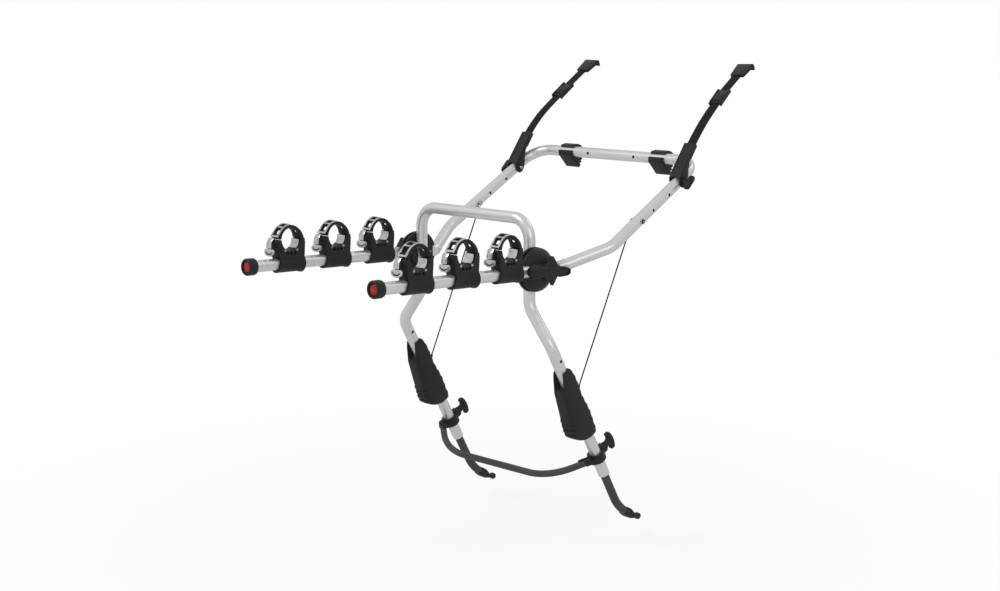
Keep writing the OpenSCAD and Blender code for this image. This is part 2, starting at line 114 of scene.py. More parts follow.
LEG_DIR = Vector((0, math.sin(LEG_TILT), -math.cos(LEG_TILT)))
LEG_TOP = Vector((LEG_X, 0, -SPLAY_LOW))
LEG_END = LEG_TOP + LEG_LEN * LEG_DIR
LEG_ROUTE = [LEG_END, LEG_TOP, Vector((POST_X, 0, -SPLAY_TOP)), Vector((POST_X, 0, HOOP_H))]
RAIL_START = Vector((189, 58, -3))
RAIL_LOW = Vector((RAIL_X, 165, 38))
RAIL_TOP = Vector((RAIL_X, BAR_Y, BAR_Z))
RAIL_DIR = (RAIL_LOW - RAIL_START).normalized()
RAIL_ANGLE = math.atan2(BAR_Z - RAIL_LOW.z, BAR_Y - RAIL_LOW.y)
BOOT_FROM, BOOT_LEN, CLAMP_AT = 56, 180, 298
RIBS_FROM, RIB_PITCH, RIBS = 0.6, 0.07, 4
KNOB_UP = 4
BAR_START, BAR_CORNER = Vector((LEG_X - 4, 117, -430)), Vector((160, 66, -466))
BAR_R, BAR_BEND = 7.5, 150
HOOK_CORNER = LEG_TOP + (LEG_LEN + 96) * LEG_DIR
HOOK_END = Vector((LEG_X, 282, -590))
HOSE_R, HOSE_BEND = 9.5, 110
HOOK_DIR = (HOOK_END - HOOK_CORNER).normalized()
WEB_ROUTE = [Vector(p) for p in (
    (RAIL_X, 400, 199.8), (RAIL_X, 433, 245), (248, 467, 281), (245, 497, 306), (242.3, 523.5, 326),
    (238.7, 558.5, 352.5), (235.6, 634, 403))]
BRACKET_LEAN, BRACKET_LEN = math.radians(36), 90
PAD_X0, PAD_X1 = 118, 160

# Fits and bores
FIT = 0.05
BOLT_BORE, PIN_BORE, SCREW_BORE = 6.2, 1.75, 4.1
EAR_X = 10.5
WEB_SLOT_W, WEB_SLOT_T = 12.9, 1.4
DRILL_STEPS = 24

# The stage, in metres and watts. The floor leaves room for the hooks at the low end of their slide
HOOK_ROOM = 0.03
FLOOR_SIZE = 60
WHITE = (1, 1, 1, 1)
SKY_LIGHT = 0.34
CAMERA_SENSOR, CAMERA_LENS = 36, 59.4
CAMERA_AT = (2.5266, -2.4638, 0.5288)
CAMERA_TURN = (math.radians(80.26), 0, math.radians(44.81))
LAMPS = (
    ("key", (-1.2, -2.4, 3.0), 1.0, 60),
    ("fill", (3.0, -0.8, 1.4), 2.2, 16),
    ("rim", (0.8, 2.8, 2.2), 2.0, 14),
)


def on_rail(y):
    """A point on the straight rail at one distance towards the car."""
    return Vector((RAIL_X, y, RAIL_LOW.z + (y - RAIL_LOW.y) * math.tan(RAIL_ANGLE)))


BRACKET_AT = on_rail(385)
ANCHOR_AT = on_rail(250)
EYE_T = 6.5
CABLE_TOP = ANCHOR_AT - Vector((TUBE_R + EYE_T / 2, 0, 0))
CABLE_LOW = Vector((LEG_X, 83, -262))
CABLE_WAY = (CABLE_TOP - CABLE_LOW).normalized()
CABLE_TAIL = 10


# Places: each is a matrix from a piece's own millimetres to the rack's frame in metres


def placed(at, turn):
    """A frame at a point, with a turn of its own."""
    return Matrix.Translation(Vector(at) * MM) @ turn.to_4x4() @ Matrix.Scale(MM, 4)


def place(at, tilt=0.0):
    """A frame at a point, tilted about X."""
    return placed(at, Matrix.Rotation(tilt, 4, "X"))


def along(at, direction):
    """A frame at a point whose Z runs along a direction and whose X lies level."""
    z = Vector(direction).normalized()
    x = Vector((0, 1, 0)).cross(z) if abs(z.y) < 0.9 else Vector((1, 0, 0))
    x.normalize()
    return placed(at, Matrix((x, z.cross(x), z)).transposed())


def on_web(at, step):
    """A frame on the webbing, whose Y runs along a step of its route and whose Z stands off its face."""
    way = step.normalized()
    off = Vector((0, -way.z, way.y)).normalized()
    return placed(at, Matrix((way.cross(off), way, off)).transposed())


def on_leg(station):
    """The leg's frame at a station: its axis runs down along -Z and the car is towards +Y."""
    return place(LEG_TOP + station * LEG_DIR, LEG_TILT)


def on_arm(out=0.0):
    """The arm's frame, some way out along -Y."""
    return place((ARM_X, 0, 0), -ARM_TILT) @ Matrix.Translation((0, -out, 0))


def on_cradle(row):
    """One cradle's frame, counted from the arm's free end."""
    return on_arm(FIRST_CRADLE + (len(ROWS) - row) * CRADLE_PITCH)


def sided(side, matrix):
    """The same frame on the right, or its mirror image on the left."""
    return matrix if side == "right" else Matrix.Scale(-1, 4, (1, 0, 0)) @ matrix


# Modelling, in code


def activate(obj):
    """Makes one object the only one selected."""
    if bpy.context.mode != "OBJECT":
        bpy.ops.object.mode_set(mode="OBJECT")
    bpy.ops.object.select_all(action="DESELECT")
    obj.select_set(True)
    bpy.context.view_layer.objects.active = obj
    return obj


@contextmanager
def editing(obj):
    """Edit mode on one object, with everything in it selected."""
    activate(obj)
    bpy.ops.object.mode_set(mode="EDIT")
    bpy.ops.mesh.select_all(action="SELECT")
    yield bmesh.from_edit_mesh(obj.data)
    bpy.ops.object.mode_set(mode="OBJECT")


def add(operator, **settings):
    """Adds a primitive with nothing else selected."""
    bpy.ops.object.select_all(action="DESELECT")
    operator(**settings)
    return bpy.context.object


def modify(obj, kind, **settings):
    """Adds a modifier and applies it."""
    activate(obj)
    modifier = obj.modifiers.new(kind.lower(), kind)
    for name, value in settings.items():
        setattr(modifier, name, value)
    bpy.ops.object.modifier_apply(modifier=modifier.name)
    return obj


def rounded(obj, width, segments=3, angle=30):
    """Rounds the edges that are sharper than an angle."""
    return modify(obj, "BEVEL", width=width, segments=segments, limit_method="ANGLE",
                  angle_limit=math.radians(angle), harden_normals=False)


def combine(obj, others, operation):
    """Cuts, unites or intersects with other solids, which are used up."""
    for other in others:
        modify(obj, "BOOLEAN", object=other, operation=operation, solver="EXACT")
        bpy.data.objects.remove(other)
    return obj


def cut(obj, *others):
    """Takes other solids away."""
    return combine(obj, others, "DIFFERENCE")


def unite(obj, *others):
    """Makes one solid of several."""
    return combine(obj, others, "UNION")


def joined(*objs):
    """Puts separate solids in one object."""
    activate(objs[0])
    for obj in objs[1:]:
        obj.select_set(True)
    bpy.ops.object.join()
    return objs[0]


def arc(y, z, r, start, end, count):
    """Points on an arc, with angles in degrees from +Y towards +Z."""
    angles = [math.radians(start + (end - start) * i / (count - 1)) for i in range(count)]
    return [(y + r * math.cos(a), z + r * math.sin(a)) for a in angles]


def slab(outline, x0, x1, edge=0.0, segments=2, angle=30):
    """An outline across X, given as (y, z), pulled from one place on X to another and rounded."""
    obj = add(bpy.ops.mesh.primitive_circle_add, vertices=len(outline))
    for vertex, (y, z) in zip(obj.data.vertices, outline):
        vertex.co = (x0, y, z)
    with editing(obj):
        bpy.ops.mesh.edge_face_add()
        bpy.ops.mesh.extrude_region_move(TRANSFORM_OT_translate={"value": (x1 - x0, 0, 0)})
        bpy.ops.mesh.select_all(action="SELECT")
        bpy.ops.mesh.normals_make_consistent(inside=False)
    return rounded(obj, edge, segments, angle) if edge else obj


def cuboid(ys, zs, x0, x1, *edge):
    """A block between two places on Y, on Z and on X, rounded as a slab is."""
    return slab([(ys[0], zs[0]), (ys[0], zs[1]), (ys[1], zs[1]), (ys[1], zs[0])], x0, x1, *edge)


def turned(profile, steps=64):
    """A closed outline of (radius, height), turned about Z."""
    obj = add(bpy.ops.mesh.primitive_circle_add, vertices=len(profile))
    for vertex, (r, z) in zip(obj.data.vertices, profile):
        vertex.co = (r, 0, z)
    with editing(obj):
        bpy.ops.mesh.spin(steps=steps, angle=2 * math.pi, axis=(0, 0, 1), center=(0, 0, 0))
        bpy.ops.mesh.select_all(action="SELECT")
        bpy.ops.mesh.remove_doubles(threshold=0.001)
        bpy.ops.mesh.dissolve_degenerate(threshold=0.001)
        bpy.ops.mesh.normals_make_consistent(inside=False)
    return obj


def rod(r, start, end, chamfer=0.0, steps=48):
    """A round rod between two points, with its end edges chamfered."""
    start, end = Vector(start), Vector(end)
    obj = add(bpy.ops.mesh.primitive_cylinder_add, vertices=steps, radius=r, depth=(end - start).length)
    turn = Vector((0, 0, 1)).rotation_difference(end - start).to_matrix().to_4x4()
    obj.data.transform(Matrix.Translation((start + end) / 2) @ turn)
    obj.location = (0, 0, 0)
    if chamfer:
        rounded(obj, chamfer, 2, 60)
    return obj


def axle(r, x0, x1, at=(0, 0), chamfer=0.0, steps=48):
    """A round rod along X, at one place on Y and Z."""
    return rod(r, (x0, *at), (x1, *at), chamfer, steps)


def loft(rings):
    """A skin through rings of points, closed by a face at each end."""
    count = len(rings[0])
    points = [point for ring in rings for point in ring]
    faces = []
    for k in range(len(rings) - 1):
        for j in range(count):
            near, far = k * count + j, k * count + (j + 1) % count
            faces.append((near, far, far + count, near + count))
    faces += [tuple(range(count)), tuple(range(len(points) - count, len(points)))]
    mesh = bpy.data.meshes.new("loft")
    mesh.from_pydata(points, [], faces)
    obj = bpy.data.objects.new("loft", mesh)
    bpy.context.scene.collection.objects.link(obj)
    with editing(obj):
        bpy.ops.mesh.normals_make_consistent(inside=False)
    return obj


def bent(route, radius, step=6):
    """A route with its corners rounded to one bend radius."""
    points = [Vector(route[0])]
    for a, p, b in zip(route, route[1:], route[2:]):
        u, v = (Vector(p) - Vector(a)).normalized(), (Vector(b) - Vector(p)).normalized()
        angle = u.angle(v)
        n = (v - math.cos(angle) * u).normalized()
        centre = Vector(p) - radius * math.tan(angle / 2) * u + radius * n
        count = max(2, math.ceil(math.degrees(angle) / step))
        for i in range(count + 1):
            w = i * angle / count
            points.append(centre - radius * math.cos(w) * n + radius * math.sin(w) * u)
    return points + [Vector(route[-1])]


def swept(points, r, sides=40, wall=0.0):
    """A tube along points, open with a wall, or capped when it is solid."""
    curve = bpy.data.curves.new("route", "CURVE")
    curve.dimensions = "3D"
    curve.bevel_depth = r
    curve.bevel_resolution = sides // 4 - 1
    curve.use_fill_caps = wall == 0
    spline = curve.splines.new("POLY")
    spline.points.add(len(points) - 1)
    for spot, point in zip(spline.points, points):
        spot.co = (*point, 1)
    obj = bpy.data.objects.new("swept", curve)
    bpy.context.scene.collection.objects.link(obj)
    activate(obj)
    bpy.ops.object.convert(target="MESH")
    obj = bpy.context.object
    with editing(obj):
        bpy.ops.mesh.remove_doubles(threshold=0.001)
        bpy.ops.mesh.normals_make_consistent(inside=False)
    if wall:
        modify(obj, "SOLIDIFY", thickness=wall, offset=-1)
    return obj


def squared(value, power):
    """A sine or a cosine, drawn out towards the side of a square."""
    return math.copysign(abs(value) ** power, value)


def with_stops(points, stops, reach=5.0):
    """Adds two points to a route round each stop, so that a hole stays within a short span."""
    route = list(points)
    for stop in stops:
        spans = [(stop - a).length + (b - stop).length - (b - a).length for a, b in zip(route, route[1:])]
        i = spans.index(min(spans))
        way = (route[i + 1] - route[i]).normalized()
        route[i + 1:i + 1] = [stop - reach * way, stop + reach * way]
    return route


def mirrored(points):
    """The same points on the left, in the opposite order."""
    return [Vector((-p[0], p[1], p[2])) for p in reversed(points)]


def dressed(template, name, matrix, slot, smooth):
    """Copies a template into the rack's frame as a finished piece with its material."""
    mesh = template.data.copy()
    mesh.name = name
    mesh.transform(matrix)
    if matrix.determinant() < 0:
        mesh.flip_normals()
    mesh.materials.clear()
    mesh.materials.append(finish(slot))
    piece = bpy.data.objects.new(name, mesh)
    bpy.context.scene.collection.objects.link(piece)
    activate(piece)
    bpy.ops.object.shade_smooth_by_angle(angle=math.radians(smooth))
    return piece


def set_in(template, name, matrix, body, slot, nodes=(), smooth=35):
    """Sets a copy of a template in as a piece that rides on a body and stands for some nodes."""
    piece = dressed(template, name, matrix, slot, smooth)
    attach(piece, body)
    if nodes:
        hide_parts(*nodes)


def tipped(obj, degrees, axis, to=(0, 0, 0)):
    """Turns a template about one axis, then moves it."""
    obj.data.transform(Matrix.Translation(to) @ Matrix.Rotation(math.radians(degrees), 4, axis))
    return obj


def used_up(*templates):
    """Removes templates once their copies are set in."""
    for template in templates:
        bpy.data.objects.remove(template)


# Finishes


class Value:
    """A shader socket whose maths adds the nodes that it needs."""

    def __init__(self, nodes, socket):
        self.nodes = nodes
        self.socket = socket

    def maths(self, operation, *terms):
        """A maths node on some terms, which are values or numbers."""
        return self.nodes.node("ShaderNodeMath", {"operation": operation}, dict(enumerate(terms)))

    def __add__(self, other):
        return self.maths("ADD", self, other)

    def __radd__(self, other):
        return self.maths("ADD", other, self)

    def __mul__(self, other):
        return self.maths("MULTIPLY", self, other)

    def __rmul__(self, other):
        return self.maths("MULTIPLY", other, self)

    def wave(self):
        """The sine of a value."""
        return self.maths("SINE", self)


class Nodes:
    """A node tree whose nodes are added one by one."""

    def __init__(self, tree):
        self.tree = tree
        tree.nodes.clear()

    def node(self, kind, settings=None, sockets=None, out=0):
        """Adds any node: its settings first, then the values or links of its sockets."""
        made = self.tree.nodes.new(kind)
        for name, value in (settings or {}).items():
            setattr(made, name, value)
        for name, value in (sockets or {}).items():
            if isinstance(value, Value):
                self.tree.links.new(value.socket, made.inputs[name])
            else:
                made.inputs[name].default_value = value
        return Value(self, made.outputs[out]) if made.outputs else None

    def seen(self):
        """One where a ray comes from the camera, a reflection or a clear piece, and nothing elsewhere."""
        kinds = ("Camera", "Glossy", "Transmission")
        rays = [self.node("ShaderNodeLightPath", out=f"Is {kind} Ray") for kind in kinds]
        return rays[0].maths("MAXIMUM", rays[0].maths("MAXIMUM", *rays[:2]), rays[2])


class Finish(Nodes):
    """A material made of nodes."""

    def __init__(self, name):
        self.material = bpy.data.materials.new(name)
        self.material.use_nodes = True
        super().__init__(self.material.node_tree)
        self.object = self.node("ShaderNodeTexCoord", out="Object")

    def noise(self, scale, detail=3.0, stretch=(1, 1, 1), kind="ShaderNodeTexNoise"):
        """Noise over the piece's own coordinates, stretched where asked."""
        where = self.node("ShaderNodeMapping", None, {"Vector": self.object, "Scale": stretch})
        sockets = {"Vector": where, "Scale": scale}
        if kind == "ShaderNodeTexNoise":
            sockets["Detail"] = detail
        return self.node(kind, None, sockets)

    def blend(self, share, low, high):
        """A mix of two colours."""
        return self.node("ShaderNodeMix", {"data_type": "RGBA"}, {0: share, 6: low, 7: high}, out=2)

    def bump(self, height, strength, distance):
        """A normal from a height."""
        sockets = {"Height": height, "Strength": strength, "Distance": distance}
        return self.node("ShaderNodeBump", None, sockets)

    def done(self, **sockets):
        """Closes the material with one principled shader."""
        named = {}
        for name, value in sockets.items():
            named[name.replace("_", " ").title().replace("Ior", "IOR")] = value
        return self.show(self.node("ShaderNodeBsdfPrincipled", None, named))

    def show(self, shader):
        """Shows a shader on the material's surface."""
        self.node("ShaderNodeOutputMaterial", None, {"Surface": shader})
        return self.material


def shade(colour, factor):
    """A colour made lighter or darker, with full opacity."""
    return (*[min(1.0, c * factor) for c in colour[:3]], 1.0)


def grained(name, colour, cloud, tones, rough, bump, grain=None, **sockets):
    """A finish whose tone follows a cloudy noise, with a fine grain in its skin."""
    f = Finish(name)
    cloud = f.noise(*cloud)
    grain = f.noise(*grain) if grain else cloud
    tone = f.blend(cloud, shade(colour, tones[0]), shade(colour, tones[1]))
    level = rough[0] + cloud * rough[1] + grain * rough[2]
    return f.done(base_color=tone, roughness=level, normal=f.bump(grain, *bump), **sockets)


def woven_strap(name, colour):
    """Webbing: ribs across the strap, crossed by fine lengthwise yarns."""
    f = Finish(name)
    length = f.node("ShaderNodeAttribute", {"attribute_name": "length"}, out="Fac")
    width = f.node("ShaderNodeAttribute", {"attribute_name": "width"}, out="Fac")
    ribs = (length * 3200).wave() * 0.5 + 0.5
    yarns = (width * 5200).wave() * 0.5 + 0.5
    weave = ribs * 0.65 + yarns * 0.35
    fuzz = f.noise(900, 3)
    tone = f.blend(weave * 0.7 + fuzz * 0.3, shade(colour, 0.5), shade(colour, 1.3))
    return f.done(base_color=tone, roughness=0.78,
                  specular_ior_level=0.1, normal=f.bump(weave, 0.6, 0.0006))


# Anodised tube: pale, with fine grain and faint handling marks
SATIN = dict(cloud=(9, 4), grain=(900, 2), tones=(0.92, 1.04), rough=(0.24, 0.10, 0.06),
             bump=(0.06, 0.0004), metallic=0.5, specular_ior_level=0.3,
             specular_tint=(0.45, 0.45, 0.46, 1))
# Moulded plastic: fine spark grain, with a little sheen and paler rubbed patches
MOULDED = dict(cloud=(24, 5), grain=(1500, 2), tones=(0.95, 1.6), rough=(0.36, 0.16, 0.05),
               bump=(0.22, 0.0004), specular_ior_level=0.12)
# Moulded rubber: dull, with dusty bloom and a soft pitted skin
RUBBER = dict(cloud=(18, 6), grain=(700, 3), tones=(1.0, 2.0), rough=(0.46, 0.2, 0),
              bump=(0.3, 0.0005), specular_ior_level=0.12)
# Polished steel with hairline scratches, and light and dark patches painted in as reflections
BRIGHT = dict(cloud=(70, 3), grain=(60, 3, (1, 14, 14)), tones=(0.22, 0.9), rough=(0.14, 0, 0.16),
              bump=(0.08, 0.0003), metallic=1.0, specular_tint=(0.5, 0.5, 0.5, 1))
# Reflector: clear red over a field of small prisms
LENS = dict(cloud=(520, None, (1, 1, 1), "ShaderNodeTexVoronoi"), tones=(1.0, 0.45), rough=(0.3, 0, 0),
            bump=(0.35, 0.0008), specular_ior_level=0.2, coat_weight=0.1)
# Jacketed cable: a slight twist shows through the plastic
JACKET = dict(cloud=(500, 2, (1, 1, 3)), tones=(0.5, 1.0), rough=(0.34, 0.1, 0),
              bump=(0.25, 0.0004), specular_ior_level=0.12)
LOOKS = {
    "frame_tube": SATIN, "plain_steel": BRIGHT, "coated_steel": MOULDED, "moulded_black": MOULDED,
    "black_rubber": RUBBER, "hose_rubber": RUBBER, "band_rubber": RUBBER, "red_lens": LENS,
    "bright_buckle": BRIGHT, "webbing": None, "cable_jacket": JACKET,
}


def slot_colour(slot):
    """The record's colour of a slot."""
    return next(m["base_color"] for m in frame["record"]["materials"] if m["slot"] == slot)


class RackColours(bpy.types.PropertyGroup):
    """Colours of the rack's finishes, which start as the record gives them."""


RackColours.__annotations__ = {
    slot: FloatVectorProperty(name=slot.replace("_", " ").capitalize(),
                              description="Colour of this finish", subtype="COLOR", size=3,
                              min=0, max=1, default=slot_colour(slot))
    for slot in LOOKS}


class RackSizes(bpy.types.PropertyGroup):
    """Sizes of the details that are modelled on the frame."""

    edge: FloatProperty(name="Edge rounding", description="Rounding of moulded edges, in millimetres",
                        default=1.2, min=0.3, max=2.5)
    tube_sides: IntProperty(name="Tube sides", description="Sides of a round tube",
                            default=48, min=24, max=96)
    tube_wall: FloatProperty(name="Tube wall", description="Wall of the frame tubes, in millimetres",
                             default=1.8, min=1.0, max=3.0)
    hole_r: FloatProperty(name="Hole radius", description="Radius of the drilled holes, in millimetres",
                          default=3.6, min=1.0, max=4.0)
    rib_h: FloatProperty(name="Boot rib", description="Height of the boots' ribs, in millimetres",
                         default=3.8, min=0.5, max=4.0)
    floor_tone: FloatProperty(name="Floor tone", description="Reflectance of the floor",
                              subtype="FACTOR", default=0.9, min=0.3, max=1.0)


FINISHES = {}


def finish(slot):
    """The material of a slot, made once."""
    if slot not in FINISHES:
        colour, look = getattr(bpy.context.scene.rack_colours, slot), LOOKS[slot]
        FINISHES[slot] = grained(slot, colour, **look) if look else woven_strap(slot, colour)
    return FINISHES[slot]


class RackPiece:
    """What the operators of the rack's pieces share."""

    bl_options = {"REGISTER", "UNDO"}

    def execute(self, context):
        self.sizes = context.scene.rack_sizes
        self.model()
        return {"FINISHED"}


def both(template, name, matrix, body, slot, node=None, smooth=35, shared=None, sides=SIDES):
    """Sets a template in on its sides, with the side at the end of every name.

    A node that holds both sides is shared, and the piece on the right stands for it.
    """
    for side in sides:
        nodes = [f"{node}_{side}"] if node else []
        if shared and side == "right":
            nodes = [shared]
        rides = f"{body}_{side}" if f"{body}_{side}" in frame["bodies"] else body
        set_in(template, f"{name}_{side}", sided(side, matrix), rides, slot, nodes, smooth)
    used_up(template)


PLAIN = Matrix.Scale(MM, 4)


class RACK_OT_stage(bpy.types.Operator):
    """Makes the camera, the floor, the sky and the lamps"""

    bl_idname = "rack.stage"
    bl_label = "Stage"

    def execute(self, context):
        self.camera(context.scene)
        self.floor(context.scene)
        self.sky(context.scene)
        for lamp in LAMPS:
            self.lamp(context.scene, *lamp)
        return {"FINISHED"}

    def camera(self, scene):
        """The camera, fitted to the photograph."""
        data = bpy.data.cameras.new("camera")
        data.sensor_width = CAMERA_SENSOR
        data.lens = CAMERA_LENS
        camera = bpy.data.objects.new("camera", data)
        camera.location = CAMERA_AT
        camera.rotation_euler = CAMERA_TURN
        scene.collection.objects.link(camera)
        scene.camera = camera
        scene.view_settings.view_transform = "Standard"

    def floor(self, scene):
        """A floor that looks white, and a little less so near the rack, where it keeps the shadow."""
        plane = add(bpy.ops.mesh.primitive_plane_add, size=FLOOR_SIZE, location=(0, 0, 0))
        plane.name = "floor"
        plane.data.transform(Matrix.Translation((0, 0, CAD_BOX[0][2] - HOOK_ROOM)))
        f = Finish("floor")
        tone = scene.rack_sizes.floor_tone
        soft = f.node("ShaderNodeBsdfDiffuse", None, {"Color": (tone, tone, tone, 1)})
        glow = f.node("ShaderNodeEmission", None, {"Color": WHITE, "Strength": 1.0})
        far = f.node("ShaderNodeVectorMath", {"operation": "LENGTH"}, {0: f.object}, out="Value")
        fade = f.node("ShaderNodeMapRange", {"interpolation_type": "SMOOTHSTEP"},
                      {"Value": far, "From Min": 0.4, "From Max": 1.6, "To Min": 0.86, "To Max": 1.0})
        mixed = f.node("ShaderNodeMixShader", None, {0: f.seen() * fade, 1: soft, 2: glow})
        plane.data.materials.append(f.show(mixed))

    def sky(self, scene):
        """A sky that looks white, and lights the rack with less."""
        scene.world = bpy.data.worlds.new("studio")
        scene.world.use_nodes = True
        n = Nodes(scene.world.node_tree)
        reach = {"Value": n.seen(), "To Min": SKY_LIGHT, "To Max": 1.0}
        level = n.node("ShaderNodeMapRange", None, reach)
        back = n.node("ShaderNodeBackground", None, {"Color": WHITE, "Strength": level})
        n.node("ShaderNodeOutputWorld", None, {"Surface": back})

    def lamp(self, scene, name, at, size, power):
        """A round lamp that points at the hub axis."""
        data = bpy.data.lights.new(name, "AREA")
        data.shape = "DISK"
        data.size = size
        data.energy = power
        lamp = bpy.data.objects.new(name, data)
        lamp.location = at
        lamp.rotation_euler = (-Vector(at)).to_track_quat("-Z", "Y").to_euler()
        scene.collection.objects.link(lamp)


class RACK_OT_cables(RackPiece, bpy.types.Operator):
    """Makes the stay cables"""

    bl_idname = "rack.cables"
    bl_label = "Stay cables"

    def model(self):
        for side in SIDES:
            self.cable(side)
            self.ends([side])

    def cable(self, side):
        """One taut cable, from the boot to the rail."""
        radius, steps = 1.5, 48
        matrix = sided(side, PLAIN)
        low = CABLE_LOW - CABLE_TAIL * CABLE_WAY
        route = [low.lerp(CABLE_TOP, i / steps) for i in range(steps + 1)]
        template = swept(route, radius, 16)
        piece = dressed(template, f"cable_{side}", matrix, "cable_jacket", 40)
        used_up(template)
        path = [matrix @ p for p in route]
        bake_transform(piece)
        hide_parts(f"stay_cable_{side}")
        (path[-1] - path[0]).length

    def ends(self, sides):
        """A sleeve at the boot, a crimped end at the eye, and the bolt through the rail."""
        sleeve = turned([(0, -10), (2.8, -10), (3.4, -9), (3.4, 6), (2.2, 9), (0, 9)], 32)
        low, top = along(CABLE_LOW, CABLE_WAY), along(CABLE_TOP, -CABLE_WAY)
        both(sleeve, "cable_sleeve", low, "lower_frame", "black_rubber", sides=sides)
        crimp = turned([(0, 5), (2.4, 5), (2.6, 6), (2.6, 18), (2.0, 20), (0, 20)], 32)
        both(crimp, "cable_crimp", top, "upper_frame", "plain_steel", sides=sides)
        inside, outside = -TUBE_R - EYE_T, TUBE_R + 4
        bolt = axle(3, inside, outside)
        eye = axle(5, inside, 1 - TUBE_R, chamfer=0.8)
        collar = turned([(0, 0), (6.4, 0), (6.4, 1), (5.6, 2), (0, 2)], 40)
        tipped(collar, 90, "Y", (TUBE_R - 0.4, 0, 0))
        head = axle(4.6, TUBE_R, outside, chamfer=0.8)
        cut(head, axle(2.3, outside - 2.2, outside + 3, steps=6))
        unite(bolt, eye, collar)
        at = place(ANCHOR_AT)
        both(bolt, "cable_bolt", at, "upper_frame", "plain_steel", shared="cable_anchors", sides=sides)
        both(head, "cable_bolt_head", at, "upper_frame", "coated_steel", sides=sides)


class RACK_OT_tubes(RackPiece, bpy.types.Operator):
    """Bends the hoop, the upper frame and the arms from tube, with their drilled holes"""

    bl_idname = "rack.tubes"
    bl_label = "Tubes"

    def model(self):
        sides, wall = self.sizes.tube_sides, self.sizes.tube_wall
        leg_hole = LEG_TOP + (BOOT_FROM - LEG_HOLE_UP) * LEG_DIR
        hoop = self.drilled(LEG_ROUTE, HOOP_BEND, [leg_hole])
        set_in(hoop, "hoop", PLAIN, "lower_frame", "frame_tube", ["hoop_frame"])
        bar_hole = Vector((BAR_HOLE_X, BAR_Y, BAR_Z))
        rail_holes = [on_rail(y) for y in RAIL_HOLES]
        upper = self.drilled([RAIL_START, RAIL_LOW, RAIL_TOP], RAIL_BEND, rail_holes, [bar_hole])
        set_in(upper, "rails", PLAIN, "upper_frame", "frame_tube", ["upper_frame"])
        used_up(hoop, upper)
        # Dark rods inside the tubes at the holes: painted shade, so that the holes look dark inside
        r, reach = self.sizes.hole_r + 0.4, Vector((TUBE_R - 0.7, 0, 0))
        shaded_holes = (("rail_hole_shade", rail_holes, "upper_frame"), ("leg_hole_shade", [leg_hole], "lower_frame"))
        for name, holes, body in shaded_holes:
            hole_shade = joined(*[rod(r, hole - reach, hole + reach, steps=DRILL_STEPS)
                               for hole in holes + mirrored(holes)])
            set_in(hole_shade, name, PLAIN, body, "coated_steel")
            used_up(hole_shade)
        arm = swept([Vector((0, -18, 0)), Vector((0, 12 - ARM_LEN, 0))], TUBE_R, sides, wall)
        both(arm, "arm", on_arm(), "arm", "frame_tube", "arm_tube")

    def drilled(self, half, bend, holes, front_holes=()):
        """A mirrored tube with holes through its sides, and holes in its front wall."""
        through = holes + mirrored(holes)
        front = list(front_holes) + mirrored(front_holes)
        route = with_stops(bent(list(half) + mirrored(half), bend), through + front)
        tube = swept(route, TUBE_R, self.sizes.tube_sides, self.sizes.tube_wall)
        r = self.sizes.hole_r
        side, fore = Vector((2 * TUBE_R, 0, 0)), Vector((0, 2 * TUBE_R, 0))
        drills = [rod(r, hole - side, hole + side, steps=DRILL_STEPS) for hole in through]
        drills += [rod(r, hole, hole - fore, steps=DRILL_STEPS) for hole in front]
        return cut(tube, *drills)


class RACK_OT_rail_ends(RackPiece, bpy.types.Operator):
    """Shapes the flattened rail ends that turn on the hub bolts"""

    bl_idname = "rack.rail_ends"
    bl_label = "Rail ends"

    def model(self):
        across = Vector((1, 0, 0)) - RAIL_DIR.x * RAIL_DIR
        across.normalize()
        stations = [((182.8, -22, 0), 2.3, 9), ((182.8, -17, 0), 2.4, 17), ((182.8, 0, 0), 2.4, 23),
                    ((182.8, 20, -1), 2.4, 21), ((183.2, 36, -2), 3.2, 18), ((186.8, 47.5, -2.6), 6.4, 15),
                    ((188, 55, -3), 10.5, 13.4)]
        x, z = Vector((1, 0, 0)), Vector((0, 0, 1))
        rings = [self.ring(Vector(at), x, z, half_x, half_z) for at, half_x, half_z in stations]
        down, r = -RAIL_DIR.cross(across), TUBE_R + 0.4
        for reach in (6, 14, 22):
            rings.append(self.ring(RAIL_START + reach * RAIL_DIR, across, down, r, r))
        end = loft(rings)
        cut(end, axle(BOLT_BORE, 170, 200))
        both(end, "rail_end", PLAIN, "upper_frame", "frame_tube", "rail_lug", 50)

    def ring(self, centre, a, b, half_a, half_b):
        """A rounded flat ring of points."""
        count, power = 40, 0.8
        points = []
        for i in range(count):
            t = 2 * math.pi * i / count
            x, y = squared(math.cos(t), power), squared(math.sin(t), power)
            points.append(centre + half_a * x * a + half_b * y * b)
        return points


